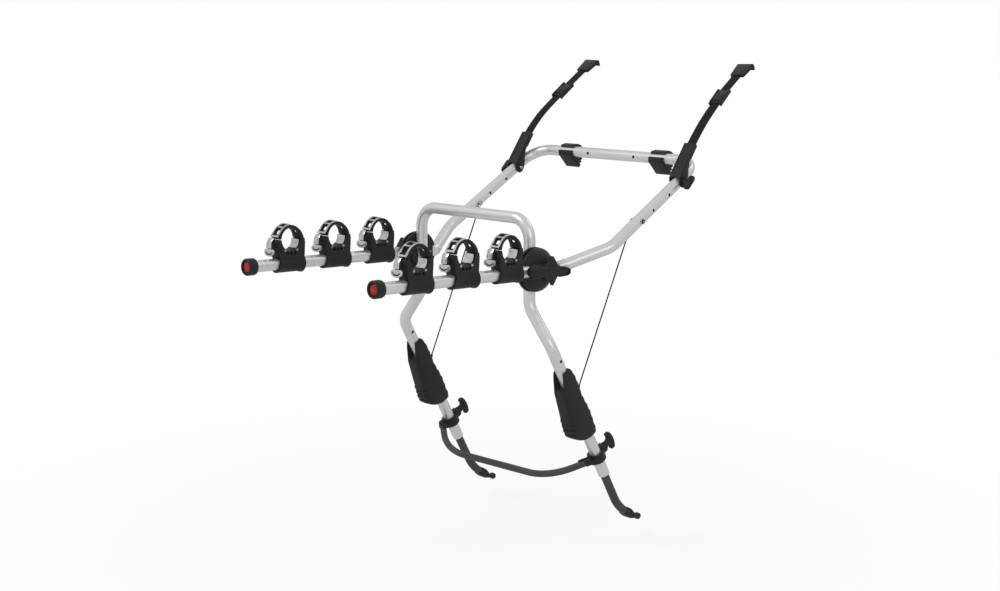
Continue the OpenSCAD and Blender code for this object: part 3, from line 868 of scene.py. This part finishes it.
class RACK_OT_hubs(RackPiece, bpy.types.Operator):
    """Models the domed hub covers with their slots, the saddles and the clamping levers"""

    bl_idname = "rack.hubs"
    bl_label = "Hubs"

    def model(self):
        self.covers()
        self.levers()
        self.saddles()

    def covers(self):
        depth = COVER_X1 - COVER_X0
        turns = [math.radians(a) for a in range(4, 90, 6)]
        dome = [(15 + 31.6 * math.cos(a), 1 + 18.5 * math.sin(a)) for a in turns]
        boss = [(15, 19.6), (15, depth - 1), (14, depth), (0, depth)]
        cover = turned([(0, 0), (45.8, 0), (46.6, 0.8)] + dome + boss, 96)
        tipped(cover, 90, "Y", (COVER_X0, 0, 0))
        unite(cover, cuboid((-40, -8), (-15, 15), COVER_X0 + 8, COVER_X1 - 0.2, 4, 4))
        bore = axle(BOLT_BORE, COVER_X0 - 2, COVER_X1 + 2)
        tunnel = rod(TUBE_R + 0.3, (ARM_X, -16, 0), (ARM_X, -70, -70 * math.tan(-ARM_TILT)), steps=64)
        slot = slab([(-60, -13.2), (-60, 13.2), (-42, 13.2), (-38, 9), (-38, -9), (-42, -13.2)],
                    ARM_X, COVER_X1 + 3)
        cut(cover, bore, tunnel, slot)
        both(cover, "hub_dome", PLAIN, "arm", "moulded_black", "hub_cover", 32)

    def levers(self):
        x0, x1 = LEVER_X0, LEVER_X0 + LEVER_T
        boss = axle(15, x0, x1 - 1, chamfer=1.0)
        beam = slab([(-56, -9), (-57, 7), (-46, 10.5), (-14, 10), (10, 9.5), (36, 11), (58, 8), (66, 4),
                     (66, -5), (58, -9.5), (34, -12), (10, -9), (-14, -10)], x0 + 1, x1)
        tipped(beam, LEVER_LEAN, "X")
        rounded(beam, 1.6, 3)
        wings = []
        for up in (1, -1):
            outline = [(-20, 6 * up), (-4, 15 * up), (9, 19 * up), (12.5, 31 * up), (15, 30.5 * up),
                       (22, 21 * up), (29, 11.5 * up), (38, 5 * up)]
            wings.append(slab(outline[::up], x0 + 1, x1 - 3, 1.0))
        unite(boss, beam, *wings)
        grip = slab([(34, -6), (34, 6), (56, 4.5), (61, 2), (61, -3), (56, -6)], x1 - 2.2, x1 + 2)
        tipped(grip, LEVER_LEAN, "X")
        cut(boss, grip, axle(BOLT_BORE, x0 - 2, x1 - 2.9))
        places = {"right": PLAIN, "left": Matrix.Rotation(math.pi, 4, "Z") @ PLAIN}
        for side in SIDES:
            body = f"hub_lever_{side}"
            set_in(boss, f"hub_lever_arm_{side}", places[side], body, "moulded_black", [body], 32)
        used_up(boss)
        nut = axle(5.4, x1 - 3, x1 + 0.6, chamfer=0.6, steps=6)
        both(nut, "hub_nut", PLAIN, "lower_frame", "coated_steel")

    def saddles(self):
        saddle = turned([(0, 0), (28.5, 0), (30, 1.5), (30, 7), (45.8, 7), (47.2, 8.2), (47.2, 12.6),
                         (46, 13.8), (0, 13.8)], 96)
        tipped(saddle, 90, "Y", (POST_X - 0.2, 0, 0))
        notch = slab([(39, -12), (39, 11), (60, 14), (60, -15)], POST_X, COVER_X0)
        cut(saddle, rod(TUBE_R + 0.1, (POST_X, 0, -60), (POST_X, 0, 60), steps=64), notch)
        cut(saddle, axle(BOLT_BORE, POST_X - 20, POST_X + 30))
        both(saddle, "hub_saddle", PLAIN, "lower_frame", "moulded_black", shared="hub_saddles")


class RACK_OT_arm_ends(RackPiece, bpy.types.Operator):
    """Turns the arms' end caps and their reflectors"""

    bl_idname = "rack.arm_ends"
    bl_label = "Arm ends"

    def model(self):
        out = on_arm(ARM_LEN + 1) @ Matrix.Rotation(-math.pi / 2, 4, "X")
        cap = turned([(0, 4), (12.6, 4), (13, 1), (13.8, 0), (15.6, 0), (17.2, 1.2), (17.9, 3), (17.9, 18),
                      (17.2, 20.4), (15.8, 21.5), (12.6, 21.5), (12.6, 12.4), (0, 12.4)], 72)
        notches = []
        count, ring_r = 18, 18.3
        for i in range(count):
            a = 2 * math.pi * i / count
            x, y = ring_r * math.cos(a), ring_r * math.sin(a)
            notches.append(rod(0.8, (x, y, 5), (x, y, 17), steps=8))
        cut(cap, joined(*notches))
        both(cap, "arm_cap", out, "arm", "moulded_black", "end_cap")
        lens = turned([(0, 1.8), (5, 2.0), (9, 2.6), (10.8, 3.3), (10.8, 3.9), (0, 3.9)], 64)
        both(lens, "arm_lens", out, "arm", "red_lens", "reflector")


class RACK_OT_cradles(RackPiece, bpy.types.Operator):
    """Models a cradle with its seat, band, ladder and buckle, and sets six of them in"""

    bl_idname = "rack.cradles"
    bl_label = "Cradles"

    def model(self):
        parts = [("cradle_body", self.body(), "moulded_black", "cradle", "arm"),
                 ("cradle_rivets", self.rivets(), "plain_steel", None, "arm"),
                 ("cradle_liner", self.liner(), "bright_buckle", None, "arm"),
                 ("cradle_band", self.band(), "band_rubber", "band", "band"),
                 ("cradle_ladder", self.ladder(), "bright_buckle", None, "band"),
                 ("cradle_latch", self.latch(), "bright_buckle", "buckle", "buckle"),
                 ("cradle_latch_block", self.latch_block(), "moulded_black", None, "buckle")]
        for name, template, slot, node, body in parts:
            for side in SIDES:
                for row in ROWS:
                    end = f"{side}_{row}"
                    rides = f"arm_{side}" if body == "arm" else f"{body}_{end}"
                    nodes = [f"{node}_{end}"] if node else []
                    set_in(template, f"{name}_{end}", sided(side, on_cradle(row)), rides, slot, nodes)
            used_up(template)

    def body(self):
        """The moulded seat: a sleeve with a flange, two horns round the loop and ears for the pins."""
        half, back = 31, 36
        skin = turned([(0, -half), (17.4, -half), (18, -half + 0.8), (18, back - 8), (19.8, back - 5),
                       (20.2, back - 3), (20.2, back - 1), (19.2, back), (0, back)], 72)
        tipped(skin, -90, "X")
        mouth = arc(-46, 14, 20, -60, 30, 9)
        cut(skin, slab(mouth + [(-60, 24), (-60, -3)], -40, 40))
        rear = [(back - 0.6, 0), (back + 0.2, 18), (back + 1, 34), (back + 1.2, LOOP_H - 6),
                (back - 1, LOOP_H - 0.3)]
        inner = arc(0, LOOP_H, LOOP_R, 0, -180, 25)
        front = [(-32.2, LOOP_H - 0.3), (-32.8, 40), (-32, 26), (-28, 12), (-26, 4), (-20, 0)]
        horns = slab(rear + inner + front, -15, 15, 2.2, 3, 40)
        ears = []
        for y, z in (BAND_PIN, BUCKLE_PIN):
            out = math.copysign(1, y)
            for x in (-EAR_X, EAR_X):
                outline = arc(y, z, 3.8, 90, 90 - 180 * out, 9)
                outline += [(out * 31, 28), (out * 25, 28), (out * 27, LOOP_H - 0.4)]
                ears.append(slab(outline, x - 2.4, x + 2.4, 0.6))
        unite(skin, horns, *ears)
        bore = rod(TUBE_R + FIT, (0, -50, 0), (0, 50, 0), steps=64)
        teeth = [slab([(y - 4.2, 21), (y + 4.2, 21), (y, 27)], -20, 20) for y in (-9.5, 0, 9.5)]
        room = axle(4.6, -8.05, 8.05, BAND_PIN, steps=32)
        cut(skin, bore, room, *teeth)
        pins = [axle(1.6, -8.5, 8.5, p, steps=16) for p in (BAND_PIN, BUCKLE_PIN)]
        return joined(skin, *pins)

    def rivets(self):
        """Two rivets on each side of the seat."""
        heads = []
        for x in (-1, 1):
            for y in (-15.5, 15.5):
                head = turned([(0, -1), (2.6, -1), (2.6, 0.3), (1.9, 1.1), (0, 1.5)], 24)
                heads.append(tipped(head, 90 * x, "Y", (15 * x, y, 29.5)))
        return joined(*heads)

    def liner(self):
        """A bright spring leaf inside the back of the loop, which leans inwards towards its upper end."""
        leaf, steps, thick = [], 16, 1.05
        for i in range(steps + 1):
            a, r = math.radians(-56 + 53 * i / steps), LOOP_R - FIT - 3.2 * (i / steps) ** 1.5
            leaf.append((Vector((math.cos(a), math.sin(a))), r))
        outer = [(r * d.x, LOOP_H + r * d.y) for d, r in leaf]
        inner = [((r - thick) * d.x, LOOP_H + (r - thick) * d.y) for d, r in reversed(leaf)]
        return slab(outer + inner, -12.5, 12.5, 0.4, 1)

    def strip(self, r0, r1, width, start, end, count=31):
        """A curved strip over the loop."""
        outline = arc(0, LOOP_H, r1, start, end, count) + arc(0, LOOP_H, r0, end, start, count)
        return slab(outline, -width / 2, width / 2)

    def windows(self, angles, width, length):
        """Cutters for windows through the strips."""
        r0, r1, half = LOOP_R - 3, LOOP_R + BAND_T + 9, length / 2
        return [self.strip(r0, r1, width, a - half, a + half, 5) for a in angles]

    def band(self):
        """The rubber band, with its windows and its hinge knuckle."""
        start, end, steps = 2, 178, 40
        turns = [start + (end - start) * i / steps for i in range(steps + 1)]
        outer = []
        for a in turns:
            swell = 1.4 + 4.8 * max(0.0, 1 - a / 48) ** 1.2
            r = LOOP_R + BAND_T + swell
            outer.append((r * math.cos(math.radians(a)), LOOP_H + r * math.sin(math.radians(a))))
        inner = arc(0, LOOP_H, LOOP_R, end, start, steps + 1)
        band = slab(outer + inner, -BAND_W / 2, BAND_W / 2, 0.9, 2, 40)
        for x in (-EAR_X, EAR_X):
            cut(band, axle(4.3, x - 2.7, x + 2.7, BAND_PIN, steps=32))
        y, z = BAND_PIN
        tongue = slab([(LOOP_R + 0.6, LOOP_H + 0.8), (LOOP_R + 1.2, LOOP_H + 10), (y + 1, z + 3.8),
                       (y - 3.4, z + 2.6)], -7.4, 7.4)
        unite(band, tongue, axle(3.9, -7.4, 7.4, BAND_PIN, steps=32))
        cut(band, axle(PIN_BORE, -20, 20, BAND_PIN, steps=DRILL_STEPS))
        pocket = self.strip(LOOP_R + BAND_T, LOOP_R + BAND_T + 12, 19, 14, 66)
        return cut(band, *self.windows((110, 144), 15, 24), *self.windows((36,), 11, 20), pocket)

    def ladder(self):
        """The bright ladder frame, which leaves the band and runs straight on to the buckle."""
        start, leave, reach = 92, 142, 17
        r0, r1 = LOOP_R + BAND_T + 0.4, LOOP_R + BAND_T + 3.6
        out = Vector((math.cos(math.radians(leave)), math.sin(math.radians(leave))))
        on = Vector((-out.y, out.x))

        def at(r, s):
            p = out * r + on * s
            return (p.x, p.y + LOOP_H)

        outer, inner = arc(0, LOOP_H, r1, start, leave, 21), arc(0, LOOP_H, r0, leave, start, 21)
        ladder = slab(outer + [at(r1, reach), at(r0, reach)] + inner, 1 - BAND_W / 2, BAND_W / 2 - 1)
        low = slab([at(r0 - 6, -0.5), at(r1 + 6, -0.5), at(r1 + 6, 12.5), at(r0 - 6, 12.5)], -8.5, 8.5)
        cut(ladder, *self.windows((110,), 17, 24), *self.windows((135.5,), 17, 14), low)
        return rounded(ladder, 0.35, 1, 40)

    def latch(self):
        """The bright buckle: a plate bent round the pin, above a wide thumb tab with a curved slot."""
        y, z = BUCKLE_PIN
        outer = arc(y, z, 7.2, 110, 150, 5) + [(y - 8.8, z + 0.4), (y - 10.8, z - 3), (y - 11.8, z - 15)]
        inner = [(y - 10.2, z - 15), (y - 9.2, z - 3), (y - 7.4, z)] + arc(y, z, 5.9, 150, 110, 5)
        plate = slab(outer + inner, -7.6, 7.6, 0.4)
        turns = [math.pi * i / 12 for i in range(13)]
        outline = [(-12.5, 0), (12.5, 0), (15.5, -3), (16, -7)]
        outline += [(15.8 * math.cos(t), -7.5 - 8 * math.sin(t)) for t in turns[1:-1]]
        outline += [(-16, -7), (-15.5, -3)]
        tab = slab(outline, -1.1, 1.1)
        tipped(tab, 90, "Z")
        rounded(tab, 0.5, 2)
        outer = [(11.5 * math.cos(t), -5.5 - 7 * math.sin(t)) for t in turns]
        inner = [(9 * math.cos(t), -5 - 4.6 * math.sin(t)) for t in reversed(turns)]
        mouth = slab(outer + inner, -8, 8)
        tipped(mouth, 90, "Z")
        cut(tab, mouth)
        tipped(tab, -9.5, "X", (0, y - 8.4, z - 16.5))
        return joined(plate, tab)

    def latch_block(self):
        """The dark body behind the buckle's plate and tab, on its pin."""
        y, z = BUCKLE_PIN
        outline = [(y + 2.6, z + 3)] + arc(y, z, 5.6, 112, 150, 4)
        outline += [(y - 7.2, z - 0.4), (y - 9.1, z - 3.2), (y - 10.1, z - 15), (y - 7, z - 17),
                    (y - 9.4, z - 30), (y - 6.6, z - 32), (y - 4, z - 28), (y - 3.4, z - 12),
                    (y - 3.4, z - 4.5), (y + 2, z - 3.6)]
        block = slab(outline, -7.4, 7.4, 0.5)
        cut(block, axle(PIN_BORE, -20, 20, BUCKLE_PIN, steps=DRILL_STEPS))
        back = [(y - 7, z - 17), (y - 8.9, z - 27.5), (y - 6.6, z - 28), (y - 4.6, z - 19)]
        return unite(block, slab(back, -13, 13, 0.8))


class RACK_OT_boots(RackPiece, bpy.types.Operator):
    """Models the rubber boots on the legs"""

    bl_idname = "rack.boots"
    bl_label = "Boots"

    def model(self):
        stations = 128
        boot = loft([self.ring(i / (stations - 1)) for i in range(stations)])
        bore = rod(TUBE_R + FIT, (0, 0, 8), (0, 0, -BOOT_LEN - 8), steps=64)
        notch = slab([(-12.9, 14), (12.9, 14), (12.9, -30), (11, -38), (8, -42), (-8, -42), (-11, -38),
                      (-12.9, -30)], -80, 2)
        tipped(notch, 90, "Z")
        cut(boot, notch, bore)
        both(boot, "leg_boot", on_leg(BOOT_FROM), "lower_frame", "black_rubber", "boot", 40)

    def ring(self, t):
        """A rounded ring round the leg, at a share of the boot's length from its top."""
        z = -5 - (BOOT_LEN - 9) * t
        top = math.sqrt(max(0.0, 1 - (1 - min(t, 0.09) / 0.09) ** 2))
        tail = math.sqrt(max(0.06, 1 - max(0.0, (t - 0.9) / 0.105) ** 2))
        toe = math.sqrt(1 - max(0.0, (t - 0.76) / 0.25) ** 2)
        half_x = (18.5 + 3.5 * min(1.0, t / 0.6)) * (0.86 + 0.14 * top) * (0.8 + 0.2 * tail)
        back = 17.5 + 1.6 * math.cos(2 * math.pi * (t - 0.18) / 0.5)
        back += 0.8 * math.sin(2 * math.pi * 9 * t)
        back *= (0.6 + 0.4 * top) * (0.82 + 0.18 * tail)
        front = max(11.0, min(11 + 78 * t, 23 + 30 * t) * (0.75 + 0.25 * top) * toe)
        rib = (t - RIBS_FROM) / RIB_PITCH
        wave = abs(math.sin(rib * math.pi)) ** 0.7 - 0.4
        ripple = self.sizes.rib_h * wave if 0 < rib < RIBS else 0.0
        count, power = 72, 0.45
        points = []
        for i in range(count):
            a = 2 * math.pi * i / count
            c, s = math.cos(a), math.sin(a)
            reach = back if s > 0 else front + ripple * max(0.0, -s) ** 0.3
            points.append((half_x * squared(c, power), reach * squared(s, power), z))
        return points


class RACK_OT_clamps(RackPiece, bpy.types.Operator):
    """Models the leg clamps, their knobs and the cross bar"""

    bl_idname = "rack.clamps"
    bl_label = "Clamps"

    def model(self):
        edge = self.sizes.edge
        half = [BAR_START, BAR_CORNER]
        bar = swept(bent(half + mirrored(half), BAR_BEND, 3), BAR_R, 32)
        set_in(bar, "cross_hose", PLAIN, "lower_frame", "hose_rubber", ["cross_bar"])
        used_up(bar)
        ring = turned([(12.6, -10), (18, -10), (19.5, -8.5), (19.5, 8.5), (18, 10), (12.6, 10)], 72)
        tongue = slab([(14, -5), (14, 13), (28, 13), (31, 9), (31, -1), (28, -5)], -9, 9, edge, 3)
        unite(ring, tongue)
        screw_way = rod(SCREW_BORE, (0, 16.5, KNOB_UP), (0, 60, KNOB_UP))
        cut(ring, screw_way, rod(TUBE_R + 0.1, (0, 0, -40), (0, 0, 40), steps=64))
        cut(ring, cuboid((15, 40), (KNOB_UP - 0.8, KNOB_UP + 0.8), -30, 30))
        both(ring, "leg_clamp", on_leg(CLAMP_AT), "lower_frame", "moulded_black", shared="leg_clamps")
        socket = turned([(7.6, -14), (8.6, -14), (9.2, -13.2), (9.2, 1), (8.8, 2), (7.6, 2)], 48)
        bar_end = along(BAR_START, BAR_CORNER - BAR_START)
        both(socket, "bar_socket", bar_end, "lower_frame", "moulded_black")
        plate = slab([(-6, -12), (-6, 12), (-3.5, 16), (3.5, 16), (6, 12), (6, -12)], 6.8, 10.6, 0.8)
        both(plate, "bar_plate", bar_end, "lower_frame", "moulded_black")
        bridge = slab([(-15, -9), (-15, 9), (-24, 6), (-24, -6)], -8, 8, edge)
        both(bridge, "bar_bridge", on_leg(CLAMP_AT), "lower_frame", "moulded_black")
        knob_at = on_leg(CLAMP_AT) @ Matrix.Translation((0, 0, KNOB_UP))
        both(self.knob(), "clamp_wing", knob_at, "clamp_knob", "moulded_black", "clamp_knob")
        threads = [(3.4 + 0.5 * (i % 2), 20 + 0.6 * i) for i in range(22)]
        screw = turned([(0, 20)] + threads + [(0, threads[-1][1])], 32)
        tipped(screw, -90, "X", (0, 0, KNOB_UP))
        both(screw, "clamp_screw", on_leg(CLAMP_AT), "clamp_knob", "plain_steel")

    def knob(self):
        """A hub with a waist, below a wing that is curved towards the leg."""
        hub = turned([(0, 31), (8.4, 31), (8.8, 31.8), (7.8, 35), (7.4, 41), (8.5, 45), (10.5, 49),
                      (0, 49)], 48)
        tipped(hub, -90, "X")
        span, top, steps = 20.5, 59.5, 12
        crown = [(top - 4.5 * (i / steps - 1) ** 2, span * (1 - i / steps)) for i in range(2 * steps + 1)]
        base = [(44.5, -span), (45.5, -9), (45.5, 9), (44.5, span)]
        return unite(hub, slab(crown + base, -5.5, 5.5, 1.8, 3, 25))


class RACK_OT_hooks(RackPiece, bpy.types.Operator):
    """Models the lower hooks with their hoses"""

    bl_idname = "rack.hooks"
    bl_label = "Lower hooks"

    def model(self):
        start = LEG_END - 60 * LEG_DIR
        neck = HOOK_CORNER + 30 * HOOK_DIR
        hose = swept(bent([start, HOOK_CORNER, neck], HOSE_BEND, 4), HOSE_R, 40)
        both(hose, "hook_sleeve", PLAIN, "hook", "hose_rubber", "hook_hose")
        outline = [(-9, -6), (-10.5, 8), (-9.5, 18), (-6, 28), (-1, 38), (2, 46), (9, 46), (7, 38),
                   (5, 30), (7.5, 20), (10, 9), (9, -6)]
        plate = slab(outline, -9, 9)
        for vertex in plate.data.vertices:
            vertex.co.x *= 1.12 if vertex.co.z < 22 else 0.86
        rounded(plate, 2.2, 4, 25)
        tip = axle(7.4, -6.5, 6.5, (5.5, 47), 3.4, 40)
        unite(plate, tip)
        dimple = turned([(0, -1), (2.5, -1), (2.5, 0.4), (1.8, 1.0), (0, 1.2)], 24)
        tipped(dimple, -90, "Y", (-10, 0, 13))
        way = along(neck, HOOK_DIR)
        both(plate, "hook_plate", way, "hook", "coated_steel", "tail_hook")
        both(dimple, "hook_rivet", way, "hook", "coated_steel")


class RACK_OT_pads(RackPiece, bpy.types.Operator):
    """Models the rest pads on the top bar"""

    bl_idname = "rack.pads"
    bl_label = "Rest pads"

    def model(self):
        teeth = [(20 - 3 * i + 4 * t, -14 - 7 * i - 4.5 * t) for i in range(3) for t in (0, 1)]
        block = [(-9, 11), (-6.5, 16), (8, 18.5), (18, 15), (26, 8), (24, -6)] + teeth
        block += [(13, -35), (15.5, -37.5), (12, -37.5), (-17, -7), (-17, 2), (-15, 4.5)]
        pad = slab(block, PAD_X0, PAD_X1, 1.0, 3, 25)
        mouth = cuboid((-30, 0), (3.8, 10.5), PAD_X0 - 9, PAD_X1 + 9)
        saddle = axle(TUBE_R + FIT, PAD_X0 - 9, PAD_X1 + 9, steps=64)
        corner = slab([(-30, 20), (4, 20), (-30, 8)], PAD_X1 - 12, PAD_X1 + 9)
        cut(pad, saddle, mouth, corner)
        both(pad, "rest_block", place((0, BAR_Y, BAR_Z)), "rest_pad", "black_rubber", "rest_pad", 30)


class RACK_OT_straps(RackPiece, bpy.types.Operator):
    """Models the strap brackets, their knobs, the webbing, the cam buckles and the top hooks"""

    bl_idname = "rack.straps"
    bl_label = "Straps"

    def model(self):
        self.bracket()
        self.knob()
        self.webbing()
        self.cam()
        self.hook()

    def bracket(self):
        """A channel that straddles the rail and leads the webbing up."""
        frame_at = place(BRACKET_AT, -BRACKET_LEAN)
        top, cheeks = BRACKET_LEN, []
        for x in (-15.0, 13.1):
            outline = arc(0, 0, 13, -20, -150, 9)
            outline += [(-17, 0), (-17, top), (-8, top), (-8, 46), (-3, 34), (5, 22), (12.4, 6)]
            cheeks.append(slab(outline, x, x + 1.9, 0.6))
        web = slab([(-17, -4), (-17, top), (-12.7, top), (-12.7, 0)], -15, 15, 0.8)
        lip = cuboid((-8.8, -6.6), (54, top), -15, 15, 0.5)
        ridge = [(-18.2, 10), (-18.2, top - 2), (-16, top - 1), (-16, 8)]
        unite(web, *cheeks, lip, *[slab(ridge, x, x + 2, 0.6) for x in (-15, 13)])
        for vertex in web.data.vertices:
            vertex.co.x *= 1 - 0.04 * max(0.0, vertex.co.z / top)
        cut(web, axle(SCREW_BORE, -30, 30))
        for swing in (-6, 2, 10, 18, 25):
            angle = RAIL_ANGLE + BRACKET_LEAN - math.radians(swing)
            rail = Vector((0, math.cos(angle), math.sin(angle)))
            cut(web, rod(TUBE_R + 0.5, -60 * rail, 60 * rail, steps=64))
        both(web, "strap_channel", frame_at, "strap", "moulded_black", "strap_bracket", 32)
        rivets = []
        for z in (44, 84):
            rivet = turned([(0, -1), (2.2, -1), (2.2, 0.3), (1.6, 0.8), (0, 1.0)], 24)
            tipped(rivet, 90, "X", (0, -17, z))
            rivets.append(rivet)
        both(joined(*rivets), "strap_rivets", frame_at, "strap", "coated_steel")

    def knob(self):
        """A winged hand knob on the bracket's bolt."""
        ends = arc(0, 11, 7, 0, 180, 13) + arc(0, -11, 7, 180, 360, 13)
        grip = slab(ends, 26, 36, 2.0, 3, 40)
        tipped(grip, -45, "X")
        stem = axle(8.8, 16, 28, chamfer=0.6)
        unite(grip, stem)
        cut(grip, axle(4.2, 34.8, 40))
        at = place(BRACKET_AT)
        both(grip, "bracket_grip", at, "bracket_knob", "moulded_black", "bracket_knob")
        bolt = axle(3.9, -20, 17.6, chamfer=0.5)
        both(bolt, "bracket_bolt", at, "bracket_knob", "plain_steel")

    def route(self):
        """The webbing's centre line, smoothed through its points."""
        points, steps = WEB_ROUTE, 12
        ends = [2 * points[0] - points[1]] + points + [2 * points[-1] - points[-2]]
        line = []
        for a, b, c, d in zip(ends, ends[1:], ends[2:], ends[3:]):
            for i in range(steps):
                t = i / steps
                line.append(0.5 * (2 * b + (c - a) * t + (2 * a - 5 * b + 4 * c - d) * t * t
                                   + (3 * b - a - 3 * c + d) * t ** 3))
        return line + [points[-1]]

    def webbing(self):
        """The woven strap, with its length and width kept for the weave."""
        line = self.route()
        width, thick = 25, 2.0
        face = [(-1, 0), (-0.96, 0.8), (-0.5, 1), (0, 1), (0.5, 1), (0.96, 0.8)]
        section = face + [(-x, -t) for x, t in face]
        rings, run, runs = [], 0.0, []
        for i, point in enumerate(line):
            before, after = line[max(0, i - 1)], line[min(len(line) - 1, i + 1)]
            way = (after - before).normalized()
            up = Vector((0, -way.z, way.y)).normalized()
            rings.append([point + Vector((x * width / 2, 0, 0)) + up * (t * thick / 2)
                          for x, t in section])
            run += (point - line[i - 1]).length if i else 0
            runs += [(run * MM, x * width / 2 * MM) for x, t in section]
        strap = loft(rings)
        for name, column in (("length", 0), ("width", 1)):
            layer = strap.data.attributes.new(name, "FLOAT", "POINT")
            layer.data.foreach_set("value", [r[column] for r in runs])
        both(strap, "strap_webbing", PLAIN, "strap", "webbing", "webbing", 50)

    def web_slot(self, start, end):
        """A cutter for the slot that takes the webbing."""
        return cuboid((start, end), (-WEB_SLOT_T, WEB_SLOT_T), -WEB_SLOT_W, WEB_SLOT_W)

    def cam(self):
        """A long cam buckle: two raised side rails, a tray and a thumb lever between them."""
        a, b = WEB_ROUTE[4:6]
        tray = cuboid((-22, 22), (-4.4, 3), -13.5, 13.5, 0.6)
        outline = [(-26, -4.8), (-26, 4.5), (-21, 6.4), (21, 6.4), (26, 4.5), (26, -4.8)]
        rails = [slab(outline, x, x + 3.4, 1.0, 3) for x in (-15.8, 12.4)]
        lever = [(-10, 2.6), (-14, 4.2), (-8, 6.6), (10, 5.4), (17, 3.6), (17, 2.6)]
        unite(tray, *rails, slab(lever, -11.6, 11.6, 0.9, 3))
        cut(tray, self.web_slot(-40, 40))
        both(tray, "cam_body", on_web((a + b) / 2, b - a), "strap", "moulded_black", "cam_buckle", 32)

    def hook(self):
        """The flat upper hook: a flared plate whose end turns down and back."""
        before, end = WEB_ROUTE[-2:]
        hook = slab([(-32, -4), (-32, 4), (8, 4.5), (12.5, 3), (14, -1), (11.5, -12), (7.5, -12),
                     (8.5, -4.5)], -21, 21)
        for vertex in hook.data.vertices:
            if vertex.co.y < -10:
                vertex.co.x *= 0.82
        rounded(hook, 1.2, 3, 25)
        cut(hook, self.web_slot(-60, 3))
        both(hook, "top_plate", on_web(end, end - before), "strap", "coated_steel", "top_hook", 32)


class RACK_OT_hardware(RackPiece, bpy.types.Operator):
    """Gives the plain fasteners of the frame their finish"""

    bl_idname = "rack.hardware"
    bl_label = "Hardware"

    def model(self):
        for name, node in frame["nodes"].items():
            if not node.hide_render:
                slot = next(s["material_slot"] for s in frame["record"]["subparts"] if s["node"] == name)
                node.data.materials.clear()
                node.data.materials.append(finish(slot))


PIECES = (RACK_OT_cables, RACK_OT_tubes, RACK_OT_rail_ends, RACK_OT_hubs, RACK_OT_arm_ends,
          RACK_OT_cradles, RACK_OT_boots, RACK_OT_clamps, RACK_OT_hooks, RACK_OT_pads, RACK_OT_straps,
          RACK_OT_hardware)


class RACK_PT_panel(bpy.types.Panel):
    """Lists the rack's operators and sizes"""

    bl_idname = "RACK_PT_panel"
    bl_label = "Bike rack"
    bl_space_type = "VIEW_3D"
    bl_region_type = "UI"
    bl_category = "Rack"

    def draw(self, context):
        layout = self.layout
        for operator in (RACK_OT_stage, *PIECES):
            layout.operator(operator.bl_idname)
        for group in (context.scene.rack_sizes, context.scene.rack_colours):
            for name in group.__annotations__:
                layout.prop(group, name)


CLASSES = (RackColours, RackSizes, RACK_OT_stage, *PIECES, RACK_PT_panel)


def register():
    for cls in CLASSES:
        bpy.utils.register_class(cls)
    bpy.types.Scene.rack_sizes = PointerProperty(type=RackSizes)
    bpy.types.Scene.rack_colours = PointerProperty(type=RackColours)


def unregister():
    del bpy.types.Scene.rack_colours
    del bpy.types.Scene.rack_sizes
    for cls in reversed(CLASSES):
        bpy.utils.unregister_class(cls)


def main():
    register()
    bpy.ops.rack.stage()
    for operator in PIECES:
        group, name = operator.bl_idname.split(".")
        getattr(getattr(bpy.ops, group), name)()
    bpy.context.view_layer.update()


if __name__ == "__main__":
    main()
